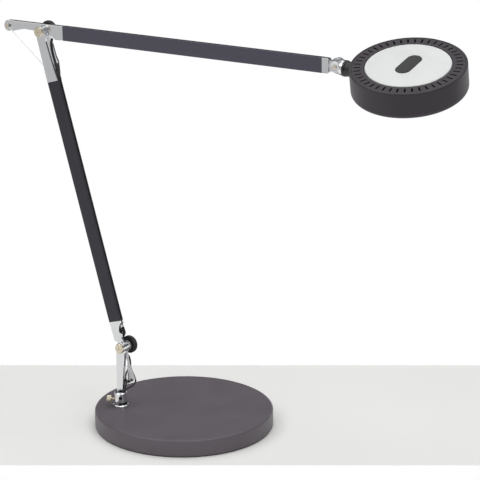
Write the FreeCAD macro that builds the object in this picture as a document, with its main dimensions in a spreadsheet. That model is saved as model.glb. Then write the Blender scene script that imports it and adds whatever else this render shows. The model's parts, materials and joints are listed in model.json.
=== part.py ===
import FreeCAD, Part
import math
import os
import re
import Sketcher

# Balanced desk lamp: a round base, a swivelling post, two slim arms with friction hinges, a lever
# pulled by a thin wire on a spring in the lower arm, and a flat round head on a turning neck.
# Frame: origin at the centre of the base's underside, +Z up, +X the way the upper arm reaches.
# All arm hinges lie along Y. Arm pieces are drawn in their arm's own frame: the hinge at the
# origin, the arm along Z (lower) or X (upper, neck and head).

VECTOR = FreeCAD.Vector
EXPORT = []

doc = FreeCAD.newDocument("BalanceDeskLamp")
sheet = doc.addObject("Spreadsheet::Sheet", "Sizes")

SIZES = {
    # Base: shell over a steel disc, on a foam pad
    "base_radius": 110,
    "base_height": 21.5,
    "base_rounding": 2.2,
    "pad_height": 1.5,
    "pad_inset": 1.2,
    "cover_wall": 2.4,
    "weight_height": 12.5,
    "weight_gap": 0.3,
    "weight_screw_circle": 80,
    "weight_screw_radius": 2,
    "weight_screw_head": 4,
    "inlet_width": 9,
    "inlet_depth": 14,
    "inlet_height": 10.5,
    "inlet_nose": 4,
    "inlet_socket": 2.8,
    "inlet_socket_depth": 9.5,
    "inlet_pin": 1.05,
    "cable_radius": 1.8,
    # Swivel spindle and collar
    "swivel_x": -66.4,
    "swivel_y": -41.4,
    "spindle_radius": 5,
    "spindle_bore": 3.2,
    "spindle_flange": 8,
    "spindle_top": 36,
    "nut_flats": 14,
    "nut_height": 4.5,
    "collar_height": 19.5,
    "collar_foot": 9.5,
    "collar_foot_height": 3,
    "collar_lower": 8.2,
    "collar_upper": 7.6,
    "collar_bevel": 1,
    "window_width": 12,
    "window_height": 3.6,
    "window_turn": 66,
    "peep_radius": 2.3,
    "peep_turn": 34,
    "peep_drop": 6,
    "running_gap": 0.05,
    "fit_gap": 0.03,
    # Thumbscrew in the collar
    "thumb_turn": 204.2,
    "thumb_drop": 10.2,
    "thumb_stem": 1.75,
    "thumb_head": 4.4,
    "thumb_head_length": 5.5,
    "thumb_reach": 17.2,
    # Post and the stack of pieces along the lower hinge
    "arm_plane": -35.4,
    "pivot_height": 97.5,
    "bolt_radius": 2.5,
    "bolt_head": 6.25,
    "bolt_head_length": 3.3,
    "bolt_dimple": 1,
    "cheek_start": -4.9,
    "cheek_thickness": 4.5,
    "cheek_left": 6.9,
    "cheek_right": 5.5,
    "cheek_foot_right": 2.3,
    "cheek_round": 6.4,
    "peg_radius": 1.6,
    "peg_length": 3.5,
    "peg_x": -3.3,
    "washer_radius": 6,
    "washer_thickness": 0.4,
    "tongue_thickness": 3.2,
    "fin_thickness": 1.6,
    "fin_boss": 5.6,
    "fin_screw_radius": 1.2,
    "fin_screw_head": 1.9,
    "fin_spacer_radius": 1.7,
    "bush_radius": 4,
    "bush_length": 3.3,
    "flange_radius": 6.5,
    "flange_thickness": 0.8,
    "spring_washer_radius": 5,
    "spring_washer_length": 1.5,
    "knob_radius": 11,
    "knob_thickness": 6.6,
    "knob_cap": 0.9,
    "knob_edge": 0.8,
    "knob_shoulder": 2.2,
    "knob_ribs": 36,
    "knob_groove": 0.6,
    "insert_radius": 4.2,
    "wire_radius": 0.95,
    "sleeve_radius": 2.15,
    "elbow_sleeve_radius": 1.7,
    "edge_bevel": 0.4,
    # Lower arm
    "lower_length": 398,
    "lower_lean": 16.7,
    "profile_width": 17.7,
    "profile_thickness": 6.6,
    "profile_wall": 1.1,
    "profile_edge": 0.7,
    "lower_start": 33.6,
    "lower_end": 61.6,
    "slot_width": 2.5,
    "slot_depth": 4.6,
    "web": 1.6,
    "fitting_plug": 24,
    "fork_thickness": 2.7,
    "fork_near_start": -4.5,
    "fork_round": 6.8,
    "fork_far_start": 8.2,
    "fork_far_thickness": 2.6,
    "fork_tab": 22,
    "fork_tab_thickness": 1.3,
    "fork_screw_radius": 1.2,
    "guide_drop": 55,
    "guide_pin_x": -3.6,
    "guide_radius": 3,
    "guide_width": 2.4,
    "guide_pin_radius": 1.2,
    "guide_pin_cover": 0.8,
    "wire_plane": -0.3,
    "balance_wire_radius": 0.45,
    "spring_radius": 1.9,
    "spring_hole": 1.2,
    "spring_top": 70,
    "spring_length": 150,
    "hook_length": 8,
    # Upper arm
    "upper_length": 413.3,
    "upper_rise": 1,
    "upper_plane": 4.45,
    "beak_thickness": 6.5,
    "tail_x": -52.8,
    "tail_z": 1.8,
    "tail_round": 6.8,
    "tail_pin_radius": 1.5,
    "tail_pin_head": 2.6,
    "beak_boss": 7.6,
    "upper_start": 30.9,
    "upper_end": 17.9,
    "plug_gap": 8.5,
    "plug_height": 8.6,
    "tilt_tongue": 2.9,
    "tilt_eye": 6,
    # Neck and head
    "head_tilt": 3.7,
    "head_twist": 16.2,
    "tilt_disc": 6.2,
    "ear_near_radius": 6.6,
    "ear_far_radius": 9.6,
    "ear_thickness": 2.2,
    "ear_gap": 0.15,
    "bridge_start": 8,
    "bridge_thickness": 3,
    "bridge_radius": 9.3,
    "neck_radius": 9.25,
    "neck_waist": 8.5,
    "neck_end": 25.5,
    "neck_pin_radius": 3,
    "neck_length": 28.1,
    "head_radius": 64.5,
    "head_height": 31.5,
    "head_top": 21.2,
    "head_wall": 2.6,
    "head_bottom_round": 5.5,
    "head_top_round": 1.4,
    "ledge_height": 7,
    "ledge_wall": 5,
    "lip_width": 7.5,
    "lip_thickness": 2.3,
    "socket_radius": 5.2,
    "socket_depth": 12,
    "collar_radius": 9.8,
    "vent_gap": 0.3,
    "vent_width": 13.3,
    "vent_thickness": 2,
    "vent_slot_margin": 2.1,
    "vent_slot_length": 7.5,
    "vent_slot_width": 2,
    "vent_count": 45,
    "plate_gap": 0.8,
    "plate_thickness": 3,
    "plate_bevel": 0.7,
    "sink_plate": 2.5,
    "core_ledge": 1.7,
    "sink_wall": 4,
    "sink_hub": 27,
    "board_margin": 12.5,
    "board_thickness": 1.6,
    "led_margin": 14,
    "led_side": 3.5,
    "led_height": 0.8,
    "led_count": 24,
    "diffuser_thickness": 2,
    "button_width": 17,
    "button_length": 41,
    "button_offset": 1,
    "button_proud": 1,
    "button_gap": 0.2,
    "button_lip": 1.5,
    "button_travel": 0.6,
}

for row, (alias, value) in enumerate(SIZES.items(), 1):
    sheet.set(f"A{row}", alias)
    sheet.set(f"B{row}", str(value))
    sheet.setAlias(f"B{row}", alias)
doc.recompute()


def size(alias):
    """A size as the sheet holds it."""
    return float(sheet.get(alias))


def sheet_value(text):
    """The value of an expression of the sheet's sizes."""
    total, sign = 0.0, 1
    for word in re.findall(r"[a-z_]+|[-+]", text):
        if word in "+-":
            sign = -1 if word == "-" else 1
        else:
            total += sign * size(word)
    return total


def linked(text):
    """An expression whose size names point at the sheet."""
    return re.sub(r"[a-z_]+\d?", lambda word: "Sizes." * (word.group() in SIZES) + word.group(), text)


# Derived heights and places, as expressions of the sizes above
WEIGHT_TOP = "(pad_height + weight_height)"
CEILING = "(base_height - cover_wall)"
CAVITY = "(base_radius - cover_wall)"
COLLAR_TOP = "(base_height + collar_height)"
CHEEK_BACK = "(cheek_start + cheek_thickness)"
TONGUE_START = f"({CHEEK_BACK} + washer_thickness)"
TONGUE_STOP = f"({TONGUE_START} + tongue_thickness)"
FIN_START = f"({TONGUE_STOP} + washer_thickness)"
FIN_STOP = f"({FIN_START} + fin_thickness)"
BUSH_STOP = f"({FIN_STOP} + bush_length)"
FLANGE_STOP = f"({BUSH_STOP} + flange_thickness)"
KNOB_START = f"({FLANGE_STOP} + spring_washer_length)"
KNOB_STOP = f"({KNOB_START} + knob_thickness)"
FORK_NEAR_STOP = "(fork_near_start + fork_thickness)"
FORK_FAR_STOP = "(fork_far_start + fork_far_thickness)"
BEAK_START = "(upper_plane - beak_thickness / 2)"
BEAK_STOP = "(upper_plane + beak_thickness / 2)"
HALF_PROFILE = "(profile_thickness / 2)"
HALF_WIDTH = "(profile_width / 2)"
INNER_HALF = f"({HALF_PROFILE} - profile_wall)"
INNER_RIGHT = f"({HALF_WIDTH} - slot_depth - web)"
INNER_LEFT = f"({HALF_WIDTH} - profile_wall)"
LOWER_STOP = "(lower_length - lower_end)"
UPPER_STOP = "(upper_length - upper_end)"
PLUG_END = "(upper_length - plug_gap)"
NECK_REACH = "(head_radius + neck_length)"
LIP_RADIUS = "(head_radius - lip_width)"
VENT_OUTER = "(head_radius - head_wall - vent_gap)"
VENT_INNER = f"({VENT_OUTER} - vent_width)"
VENT_SLOT_STOP = f"({VENT_OUTER} - vent_slot_margin)"
VENT_SLOT_START = f"({VENT_SLOT_STOP} - vent_slot_length)"
PLATE_RADIUS = f"({VENT_INNER} - plate_gap)"
CORE_RADIUS = f"({VENT_INNER} + core_ledge)"
BOARD_RADIUS = "(head_radius - board_margin)"
LED_CIRCLE = f"({BOARD_RADIUS} - led_margin)"
ELBOW_X = "(swivel_x - lower_length * sin(lower_lean))"
ELBOW_Z = "(pivot_height + lower_length * cos(lower_lean))"
TILT_X = f"({ELBOW_X} + upper_length * cos(upper_rise))"
TILT_Z = f"({ELBOW_Z} + upper_length * sin(upper_rise))"
TILT_Y = "(arm_plane + upper_plane)"
HEAD_BOTTOM = "(head_top - head_height)"
SINK_BOTTOM = "ledge_height"
PLATE_BOTTOM = "(head_top - plate_thickness + 0.2)"

BASE_FRAME = ("0", "0", "0", "0", "0", "0")
SWIVEL_FRAME = ("swivel_x", "swivel_y", "0", "0", "0", "0")
THUMB_FRAME = ("swivel_x", "swivel_y", f"{COLLAR_TOP} - thumb_drop", "thumb_turn", "0", "0")
POST_FRAME = ("swivel_x", "arm_plane", "pivot_height", "0", "0", "0")
LOWER_FRAME = ("swivel_x", "arm_plane", "pivot_height", "0", "-lower_lean", "0")
ELBOW_FRAME = (ELBOW_X, "arm_plane", ELBOW_Z, "0", "-lower_lean", "0")
UPPER_FRAME = (ELBOW_X, "arm_plane", ELBOW_Z, "0", "-upper_rise", "0")
NECK_FRAME = (TILT_X, TILT_Y, TILT_Z, "0", "head_tilt", "0")
DRUM_FRAME = (
    f"{TILT_X} + {NECK_REACH} * cos(head_tilt)",
    TILT_Y,
    f"{TILT_Z} - {NECK_REACH} * sin(head_tilt)",
    "0",
    "head_tilt",
    "head_twist",
)


def placed(item, frame):
    """Bind a piece's Placement: x, y, z, yaw, pitch and roll."""
    x, y, z, yaw, pitch, roll = frame
    item.setExpression(
        "Placement",
        linked(
            f"create(<<placement>>; create(<<vector>>; {x}; {y}; {z});"
            f" create(<<rotation>>; {yaw}; {pitch}; {roll}))"
        ),
    )
    return item


def finished(item, frame, label=None):
    """A piece in its frame, kept for export."""
    if label:
        item.Label = label
    placed(item, frame)
    EXPORT.append(item)
    return item


def sketched(body, plane, offset, outline=(), circles=()):
    """A sketch on an origin plane: a polygon and circles, each bound to the sheet."""
    sketch = body.newObject("Sketcher::SketchObject", f"{body.Name}_sketch")
    plane_of = {item.Role: item for item in body.Origin.OriginFeatures}
    sketch.AttachmentSupport = [(plane_of[f"{plane}_Plane"], "")]
    sketch.MapMode = "FlatFace"
    sketch.setExpression(".AttachmentOffset.Base.z", linked(offset))
    count = len(outline)
    turn = [2 * math.pi * i / max(count, 1) for i in range(count)]
    start = [VECTOR(10 * math.cos(a), 10 * math.sin(a), 0) for a in turn]
    for i in range(count):
        sketch.addGeometry(Part.LineSegment(start[i], start[(i + 1) % count]))
    for i in range(count):
        sketch.addConstraint(Sketcher.Constraint("Coincident", i, 2, (i + 1) % count, 1))
    for i, (x, y) in enumerate(outline):
        bound(sketch, Sketcher.Constraint("DistanceX", -1, 1, i, 1, 1.0), x)
        bound(sketch, Sketcher.Constraint("DistanceY", -1, 1, i, 1, 1.0), y)
    for x, y, radius in circles:
        ring = sketch.addGeometry(Part.Circle(VECTOR(1, 1, 0), VECTOR(0, 0, 1), 1))
        bound(sketch, Sketcher.Constraint("DistanceX", -1, 1, ring, 3, 1.0), x)
        bound(sketch, Sketcher.Constraint("DistanceY", -1, 1, ring, 3, 1.0), y)
        bound(sketch, Sketcher.Constraint("Radius", ring, 1.0), radius)
    return sketch


def bound(sketch, constraint, text):
    number = sketch.addConstraint(constraint)
    sketch.setExpression(f"Constraints[{number}]", linked(text))


def new_body(name):
    body = doc.addObject("PartDesign::Body", name)
    body.Label = name
    body.AllowCompound = True
    return body


# A sketch's normal is +Z on XY, -Y on XZ and +X on YZ. A pad grows along it, a pocket against it.
def pad(body, plane, low, high, outline=(), circles=()):
    """Add a prism between two levels along the plane's own axis."""
    offset = f"-({high})" if plane == "XZ" else low
    feature = body.newObject("PartDesign::Pad", f"{body.Name}_pad")
    feature.Profile = sketched(body, plane, offset, outline, circles)
    feature.setExpression("Length", linked(f"{high} - ({low})"))
    return body


def pocket(body, plane, low, high, outline=(), circles=()):
    """Cut a prism between two levels, and check that it took something away."""
    doc.recompute()
    before = body.Shape.Volume
    offset = f"-({low})" if plane == "XZ" else high
    feature = body.newObject("PartDesign::Pocket", f"{body.Name}_pocket")
    feature.Profile = sketched(body, plane, offset, outline, circles)
    feature.setExpression("Length", linked(f"{high} - ({low})"))
    doc.recompute()
    if body.Shape.Volume > before - 1e-3:
        raise RuntimeError(f"{body.Name}: {feature.Name} cuts nothing")
    return feature


def turned(body, plane, axis, outline):
    """Add a solid of revolution: about Z from XZ, about Y from XY, about X from XZ or XY."""
    feature = body.newObject("PartDesign::Revolution", f"{body.Name}_turn")
    sketch = sketched(body, plane, "0", outline)
    feature.Profile = sketch
    feature.ReferenceAxis = (sketch, [axis])
    feature.Angle = 360
    return body


def patterned(body, feature, axis_role, count):
    """Repeat a feature round an origin axis."""
    pattern = body.newObject("PartDesign::PolarPattern", f"{body.Name}_pattern")
    pattern.Originals = [feature]
    axis_of = {item.Role: item for item in body.Origin.OriginFeatures}
    pattern.Axis = (axis_of[axis_role], [""])
    pattern.Angle = 360
    pattern.setExpression("Occurrences", linked(count))
    body.Tip = pattern
    doc.recompute()


def eased(body, kind, value, picked):
    """Round ("Fillet") or bevel ("Chamfer") the edges that a test picks."""
    doc.recompute()
    tip = body.Tip
    names = [f"Edge{i}" for i, edge in enumerate(tip.Shape.Edges, 1) if picked(edge)]
    if not names:
        raise RuntimeError(f"{body.Name}: no edge to ease")
    feature = body.newObject(f"PartDesign::{kind}", f"{body.Name}_{kind.lower()}")
    feature.Base = (tip, names)
    feature.setExpression("Radius" if kind == "Fillet" else "Size", linked(value))
    doc.recompute()
    return body


def ring_at(axis, level, radius):
    """A test for full circles of one radius at one level along an axis."""

    def picked(edge):
        curve = edge.Curve
        if not isinstance(curve, Part.Circle) or abs(curve.Radius - radius) > 1e-3:
            return False
        return abs(getattr(curve.Center, axis) - level) < 1e-3

    return picked


def along(axis, first, second):
    """A test for straight edges along an axis, by how far they lie from it on the other two."""
    others = [other for other in "xyz" if other != axis]

    def picked(edge):
        middle = edge.CenterOfMass
        away = [abs(getattr(middle, other)) for other in others]
        straight = edge.BoundBox.DiagonalLength > 20 and isinstance(edge.Curve, Part.Line)
        return straight and abs(away[0] - first) < 0.01 and abs(away[1] - second) < 0.01

    return picked


def rim_of(levels, widest=3.2):
    """A test for the outer edges of faces across Y at some levels, without the small bores."""

    def picked(edge):
        box = edge.BoundBox
        bore = isinstance(edge.Curve, Part.Circle) and edge.Curve.Radius < widest
        return not bore and box.YLength < 1e-6 and min(abs(box.YMin - level) for level in levels) < 1e-4

    return picked


def rod(name, radius, length, frame):
    """A Part cylinder along its frame's Z."""
    item = doc.addObject("Part::Cylinder", name)
    item.setExpression("Radius", linked(radius))
    item.setExpression("Height", linked(length))
    return placed(item, frame)


def block(name, lengths, frame):
    """A Part box from its frame's corner."""
    item = doc.addObject("Part::Box", name)
    for side, text in zip(("Length", "Width", "Height"), lengths):
        item.setExpression(side, linked(text))
    return placed(item, frame)


def cut_from(name, base, tools):
    """A piece with several tools taken away."""
    cut = doc.addObject("Part::Cut", name)
    cut.Base = base
    cut.Tool = joined(f"{name}_tools", tools) if len(tools) > 1 else tools[0]
    return cut


def joined(name, items):
    fuse = doc.addObject("Part::MultiFuse", name)
    fuse.Shapes = items
    return fuse


def along_y(x, low, z):
    """The frame of a rod that starts at a Y level and runs towards +Y."""
    return (x, low, z, "0", "0", "-90")


def tube(name, points, bends, radius):
    """A round tube on straight runs joined by tangent arcs, one bend radius per inner point."""
    edges = []
    start = points[0]
    length = 0.0
    for i, bend in enumerate(bends, 1):
        before = (points[i - 1] - points[i]).normalize()
        after = (points[i + 1] - points[i]).normalize()
        half = (math.pi - before.getAngle(after)) / 2
        reach = bend * math.tan(half)
        enter = points[i] + before * reach
        leave = points[i] + after * reach
        middle = (before + after).normalize()
        centre = points[i] + middle * (bend / math.cos(half))
        top = centre - middle * bend
        edges += [Part.LineSegment(start, enter).toShape(), Part.Arc(enter, top, leave).toShape()]
        length += start.distanceToPoint(enter) + 2 * half * bend
        start = leave
    edges.append(Part.LineSegment(start, points[-1]).toShape())
    length += start.distanceToPoint(points[-1])
    section = Part.Wire(Part.Circle(points[0], points[1] - points[0], radius).toShape())
    solid = Part.Wire(edges).makePipeShell([section], True, False)
    print(f"{name}: bends {[round(b, 2) for b in bends]} mm, length {length:.1f} mm")
    if abs(solid.Volume / (math.pi * radius**2 * length) - 1) > 1e-3:
        raise RuntimeError(f"{name}: its volume isn't its section times its length")
    return solid


def bends_for(points):
    """The largest tangent arcs that each pair of runs has room for."""
    radii = []
    for a, b, c in zip(points, points[1:], points[2:]):
        turn = math.pi - (a - b).getAngle(c - b)
        radii.append(0.45 * min((a - b).Length, (c - b).Length) / math.tan(turn / 2))
    return radii


def cable(name, routes, radius, frame, tight=0.0):
    """One node of round cables along routes of points; tight is the last bend's radius, if given."""
    item = doc.addObject("Part::Feature", name)
    solids = []
    for route in routes:
        bends = bends_for(route)
        if tight:
            bends[-1] = tight
        solids.append(tube(name, route, bends, radius))
    item.Shape = solids[0] if len(solids) == 1 else Part.makeCompound(solids)
    return finished(item, frame)


# ---------------------------------------------------------------- base
SCREW_TURNS = (30, 150, 270)
screw_places = [
    (f"weight_screw_circle * cos({turn})", f"weight_screw_circle * sin({turn})") for turn in SCREW_TURNS
]

base_cover = new_body("base_cover")
turned(base_cover, "XZ", "V_Axis", [
    ("0", CEILING),
    (CAVITY, CEILING),
    (CAVITY, "pad_height"),
    ("base_radius", "pad_height"),
    ("base_radius", "base_height"),
    ("0", "base_height"),
])
eased(base_cover, "Fillet", "base_rounding", ring_at("z", size("base_height"), size("base_radius")))
pad(base_cover, "XY", WEIGHT_TOP, f"{CEILING} + cover_wall / 2", circles=[
    (x, y, "weight_screw_radius * 2") for x, y in screw_places
])
pocket(base_cover, "XY", WEIGHT_TOP, f"{CEILING} + cover_wall / 4", circles=[
    (x, y, "weight_screw_radius + fit_gap") for x, y in screw_places
])
pocket(base_cover, "XY", f"{CEILING} - 1", "base_height + 1", circles=[
    ("swivel_x", "swivel_y", "spindle_radius + fit_gap")
])
pocket(base_cover, "XZ", f"{CAVITY} - 3", "base_radius + 1", circles=[
    ("0", f"{WEIGHT_TOP} - inlet_height / 2", "inlet_nose + fit_gap")
])
finished(base_cover, BASE_FRAME)

base_weight = new_body("base_weight")
pad(base_weight, "XY", "pad_height", WEIGHT_TOP, circles=[("0", "0", f"{CAVITY} - weight_gap")])
pocket(base_weight, "XY", "pad_height - 1", f"{WEIGHT_TOP} + 1", circles=[
    ("swivel_x", "swivel_y", "spindle_radius + fit_gap")
] + [(x, y, "weight_screw_radius + fit_gap") for x, y in screw_places])
pocket(base_weight, "XY", "pad_height - 1", "pad_height + nut_height + fit_gap", circles=[
    ("swivel_x", "swivel_y", "nut_flats * 0.66")
])
pocket(base_weight, "XY", "pad_height - 1", "pad_height + weight_screw_head", circles=[
    (x, y, "weight_screw_head + fit_gap") for x, y in screw_places
])
pocket(base_weight, "XY", "pad_height - 1", f"{WEIGHT_TOP} + 1", outline=[
    ("-inlet_width / 2 - fit_gap", f"{CAVITY} - inlet_depth - fit_gap"),
    ("inlet_width / 2 + fit_gap", f"{CAVITY} - inlet_depth - fit_gap"),
    ("inlet_width / 2 + fit_gap", "base_radius"),
    ("-inlet_width / 2 - fit_gap", "base_radius"),
])
finished(base_weight, BASE_FRAME)

base_pad = new_body("base_pad")
pad(base_pad, "XY", "0", "pad_height", circles=[("0", "0", "base_radius - pad_inset")])
finished(base_pad, BASE_FRAME)

weight_screws = new_body("weight_screws")
pad(weight_screws, "XY", "pad_height", "pad_height + weight_screw_head - 1", circles=[
    (x, y, "weight_screw_head") for x, y in screw_places
])
pad(weight_screws, "XY", "pad_height + weight_screw_head - 1.5", f"{CEILING} - 0.5", circles=[
    (x, y, "weight_screw_radius") for x, y in screw_places
])
finished(weight_screws, BASE_FRAME)

INLET_LEVEL = f"({WEIGHT_TOP} - inlet_height / 2)"
INLET_BACK = f"({CAVITY} - inlet_depth)"
dc_inlet = new_body("dc_inlet")
pad(dc_inlet, "XZ", INLET_BACK, f"{CAVITY} - 0.2", outline=[
    ("-inlet_width / 2", f"{WEIGHT_TOP} - inlet_height"),
    ("inlet_width / 2", f"{WEIGHT_TOP} - inlet_height"),
    ("inlet_width / 2", WEIGHT_TOP),
    ("-inlet_width / 2", WEIGHT_TOP),
])
pad(dc_inlet, "XZ", f"{CAVITY} - 1", "base_radius - 0.3", circles=[("0", INLET_LEVEL, "inlet_nose")])
pocket(dc_inlet, "XZ", "base_radius - 0.3 - inlet_socket_depth", "base_radius + 1", circles=[
    ("0", INLET_LEVEL, "inlet_socket")
])
pad(dc_inlet, "XZ", "base_radius - 0.5 - inlet_socket_depth", "base_radius - 1.3", circles=[
    ("0", INLET_LEVEL, "inlet_pin")
])
finished(dc_inlet, BASE_FRAME)

spindle = new_body("spindle")
turned(spindle, "XZ", "V_Axis", [
    ("spindle_bore", "pad_height + 0.8"),
    ("spindle_radius", "pad_height + 0.8"),
    ("spindle_radius", WEIGHT_TOP),
    ("spindle_flange", WEIGHT_TOP),
    ("spindle_flange", CEILING),
    ("spindle_radius", CEILING),
    ("spindle_radius", "spindle_top"),
    ("spindle_bore", "spindle_top"),
])
pocket(spindle, "XZ", "0", "spindle_flange + 1", circles=[
    ("0", f"({WEIGHT_TOP} + {CEILING}) / 2", "cable_radius + 0.3")
])
finished(spindle, SWIVEL_FRAME)

spindle_nut = new_body("spindle_nut")
pad(spindle_nut, "XY", "pad_height + 0.2", "pad_height + nut_height", outline=[
    (f"nut_flats / cos(30) / 2 * cos({turn})", f"nut_flats / cos(30) / 2 * sin({turn})")
    for turn in range(0, 360, 60)
], circles=[("0", "0", "spindle_radius + fit_gap")])
finished(spindle_nut, SWIVEL_FRAME)

# The cable lies on the steel disc, enters the spindle's side and turns up inside it.
cable_level = size("pad_height") + size("weight_height") + size("cable_radius") + 0.5
inlet_level = size("pad_height") + size("weight_height") - size("inlet_height") / 2
inlet_back = size("base_radius") - size("cover_wall") - size("inlet_depth")
spindle_x, spindle_y = size("swivel_x"), size("swivel_y")
base_cable = cable("base_cable", [[
    VECTOR(0, inlet_back + 5, cable_level),
    VECTOR(-1, inlet_back - 30, cable_level),
    VECTOR(-12, 18, cable_level),
    VECTOR(-52, -8, cable_level),
    VECTOR(spindle_x, -20, cable_level),
    VECTOR(spindle_x, spindle_y, cable_level),
    VECTOR(spindle_x, spindle_y, size("spindle_top") + 0.9),
]], size("cable_radius"), BASE_FRAME, tight=4.0)

# ---------------------------------------------------------------- collar and thumbscrew
collar_turning = new_body("collar_turning")
turned(collar_turning, "XZ", "V_Axis", [
    ("spindle_radius + running_gap", "base_height"),
    ("collar_foot", "base_height"),
    ("collar_foot", "base_height + collar_foot_height"),
    ("collar_lower", "base_height + collar_foot_height + 0.8"),
    ("collar_upper", f"{COLLAR_TOP} - collar_bevel"),
    ("collar_upper - collar_bevel", COLLAR_TOP),
    ("spindle_bore", COLLAR_TOP),
    ("spindle_bore", "spindle_top + 0.5"),
    ("spindle_radius + running_gap", "spindle_top + 0.5"),
])
collar_tools = [
    block("collar_window", ("window_width", "collar_foot", "window_height"), (
        "swivel_x - window_width / 2 * cos(window_turn) + collar_foot * sin(window_turn)",
        "swivel_y - window_width / 2 * sin(window_turn) - collar_foot * cos(window_turn)",
        "base_height + collar_foot_height + 0.8", "window_turn", "0", "0")),
    rod("collar_peep", "peep_radius", "collar_foot", (
        "swivel_x + collar_foot * sin(peep_turn)",
        "swivel_y - collar_foot * cos(peep_turn)",
        f"{COLLAR_TOP} - peep_drop", "peep_turn", "0", "-90")),
    block("collar_mouth", ("5.7", "4.4", "5.5"), (
        "swivel_x - 1", "swivel_y - 0.2", "spindle_top + 0.5", "0", "0", "0")),
    rod("collar_peg_hole", "peg_radius + fit_gap", "peg_length + 0.3", (
        "swivel_x + peg_x", f"arm_plane + {CHEEK_BACK} - cheek_thickness / 2",
        f"{COLLAR_TOP} - peg_length - 0.2", "0", "0", "0")),
    rod("collar_thread", "thumb_stem + running_gap", "collar_foot", (
        "swivel_x", "swivel_y", f"{COLLAR_TOP} - thumb_drop", "thumb_turn", "90", "0")),
]
placed(collar_turning, SWIVEL_FRAME)
collar = cut_from("collar", collar_turning, collar_tools)
EXPORT.append(collar)

thumbscrew = new_body("thumbscrew")
turned(thumbscrew, "XZ", "H_Axis", [
    ("spindle_radius + running_gap", "0"),
    ("spindle_radius + running_gap", "thumb_stem"),
    ("thumb_reach - thumb_head_length", "thumb_stem"),
    ("thumb_reach - thumb_head_length", "thumb_head"),
    ("thumb_reach", "thumb_head"),
    ("thumb_reach", "0"),
])
eased(thumbscrew, "Chamfer", "0.6", ring_at("x", size("thumb_reach"), size("thumb_head")))
finished(thumbscrew, THUMB_FRAME)

# ---------------------------------------------------------------- post and lower hinge stack
FOOT_DROP = f"(pivot_height - {COLLAR_TOP})"
post_cheek = new_body("post_cheek")
pad(post_cheek, "XZ", "cheek_start", CHEEK_BACK, outline=[
    ("-cheek_left", "0"),
    ("-cheek_left", f"-{FOOT_DROP}"),
    ("cheek_foot_right", f"-{FOOT_DROP}"),
    ("cheek_right", "-6"),
    ("cheek_right", "0"),
])
pad(post_cheek, "XZ", "cheek_start", CHEEK_BACK, circles=[("0", "0", "cheek_round")])
pad(post_cheek, "XY", f"-{FOOT_DROP} - peg_length", f"1 - {FOOT_DROP}", circles=[
    ("peg_x", f"{CHEEK_BACK} - cheek_thickness / 2", "peg_radius")
])
cheek_faces = (size("cheek_start"), size("cheek_start") + size("cheek_thickness"))
eased(post_cheek, "Chamfer", "edge_bevel", rim_of(cheek_faces))
pocket(post_cheek, "XZ", "cheek_start - 1", f"{CHEEK_BACK} + 1", circles=[
    ("0", "0", "bolt_radius + fit_gap")
])
finished(post_cheek, POST_FRAME)

lower_bolt = new_body("lower_bolt")
turned(lower_bolt, "XY", "V_Axis", [
    ("0", "cheek_start - bolt_head_length + 0.8"),
    ("bolt_dimple", "cheek_start - bolt_head_length + 0.8"),
    ("bolt_dimple", "cheek_start - bolt_head_length"),
    ("bolt_head - 0.6", "cheek_start - bolt_head_length"),
    ("bolt_head", "cheek_start - bolt_head_length + 0.6"),
    ("bolt_head", "cheek_start - 0.5"),
    ("bolt_head - 0.5", "cheek_start"),
    ("bolt_radius", "cheek_start"),
    ("bolt_radius", f"{KNOB_STOP} - knob_cap - 0.6"),
    ("0", f"{KNOB_STOP} - knob_cap - 0.6"),
])
finished(lower_bolt, POST_FRAME)

lower_washers = new_body("lower_washers")
for level in (CHEEK_BACK, TONGUE_STOP):
    pad(lower_washers, "XZ", level, f"{level} + washer_thickness", circles=[
        ("0", "0", "washer_radius"), ("0", "0", "bolt_radius + fit_gap")
    ])
finished(lower_washers, POST_FRAME)

FIN_OUTLINE = [
    ("-3.4", "0"),
    ("0.5", "-8"),
    ("1.0", "-15.5"),
    ("3.9", "-18.5"),
    ("3.9", "-43"),
    ("-3.4", "-44"),
    ("-3.4", "-49"),
    ("0.9", "-50.5"),
    ("14.9", "-41.1"),
    ("7.5", "-24.5"),
    ("4.8", "-14.6"),
    ("3.6", "0"),
]
cable_fin = new_body("cable_fin")
pad(cable_fin, "XZ", FIN_START, FIN_STOP, outline=FIN_OUTLINE)
pad(cable_fin, "XZ", FIN_START, FIN_STOP, circles=[("0", "0", "fin_boss")])
FIN_SCREWS = (("6.0", "-44.8"), ("10.2", "-42.1"))
pocket(cable_fin, "XZ", f"{FIN_START} - 1", f"{FIN_STOP} + 1", circles=[
    ("0", "0", "bolt_radius + fit_gap")
] + [(x, z, "fin_screw_radius + fit_gap") for x, z in FIN_SCREWS])
finished(cable_fin, POST_FRAME)

fin_screws = new_body("fin_screws")
pad(fin_screws, "XZ", f"{FIN_START} - 0.9", FIN_START, circles=[
    (x, z, "fin_screw_head") for x, z in FIN_SCREWS
])
pad(fin_screws, "XZ", f"{FIN_START} - 0.3", f"{FIN_STOP} + 1.2", circles=[
    (x, z, "fin_screw_radius") for x, z in FIN_SCREWS
])
finished(fin_screws, POST_FRAME)

fin_spacer = new_body("fin_spacer")
pad(fin_spacer, "XZ", CHEEK_BACK, FIN_START, circles=[("-1.2", "-46.5", "fin_spacer_radius")])
finished(fin_spacer, POST_FRAME)

lower_bush = new_body("lower_bush")
turned(lower_bush, "XY", "V_Axis", [
    ("bolt_radius + fit_gap", FIN_STOP),
    ("bush_radius", FIN_STOP),
    ("bush_radius", BUSH_STOP),
    ("flange_radius", BUSH_STOP),
    ("flange_radius", FLANGE_STOP),
    ("bolt_radius + fit_gap", FLANGE_STOP),
])
finished(lower_bush, POST_FRAME)

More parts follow.
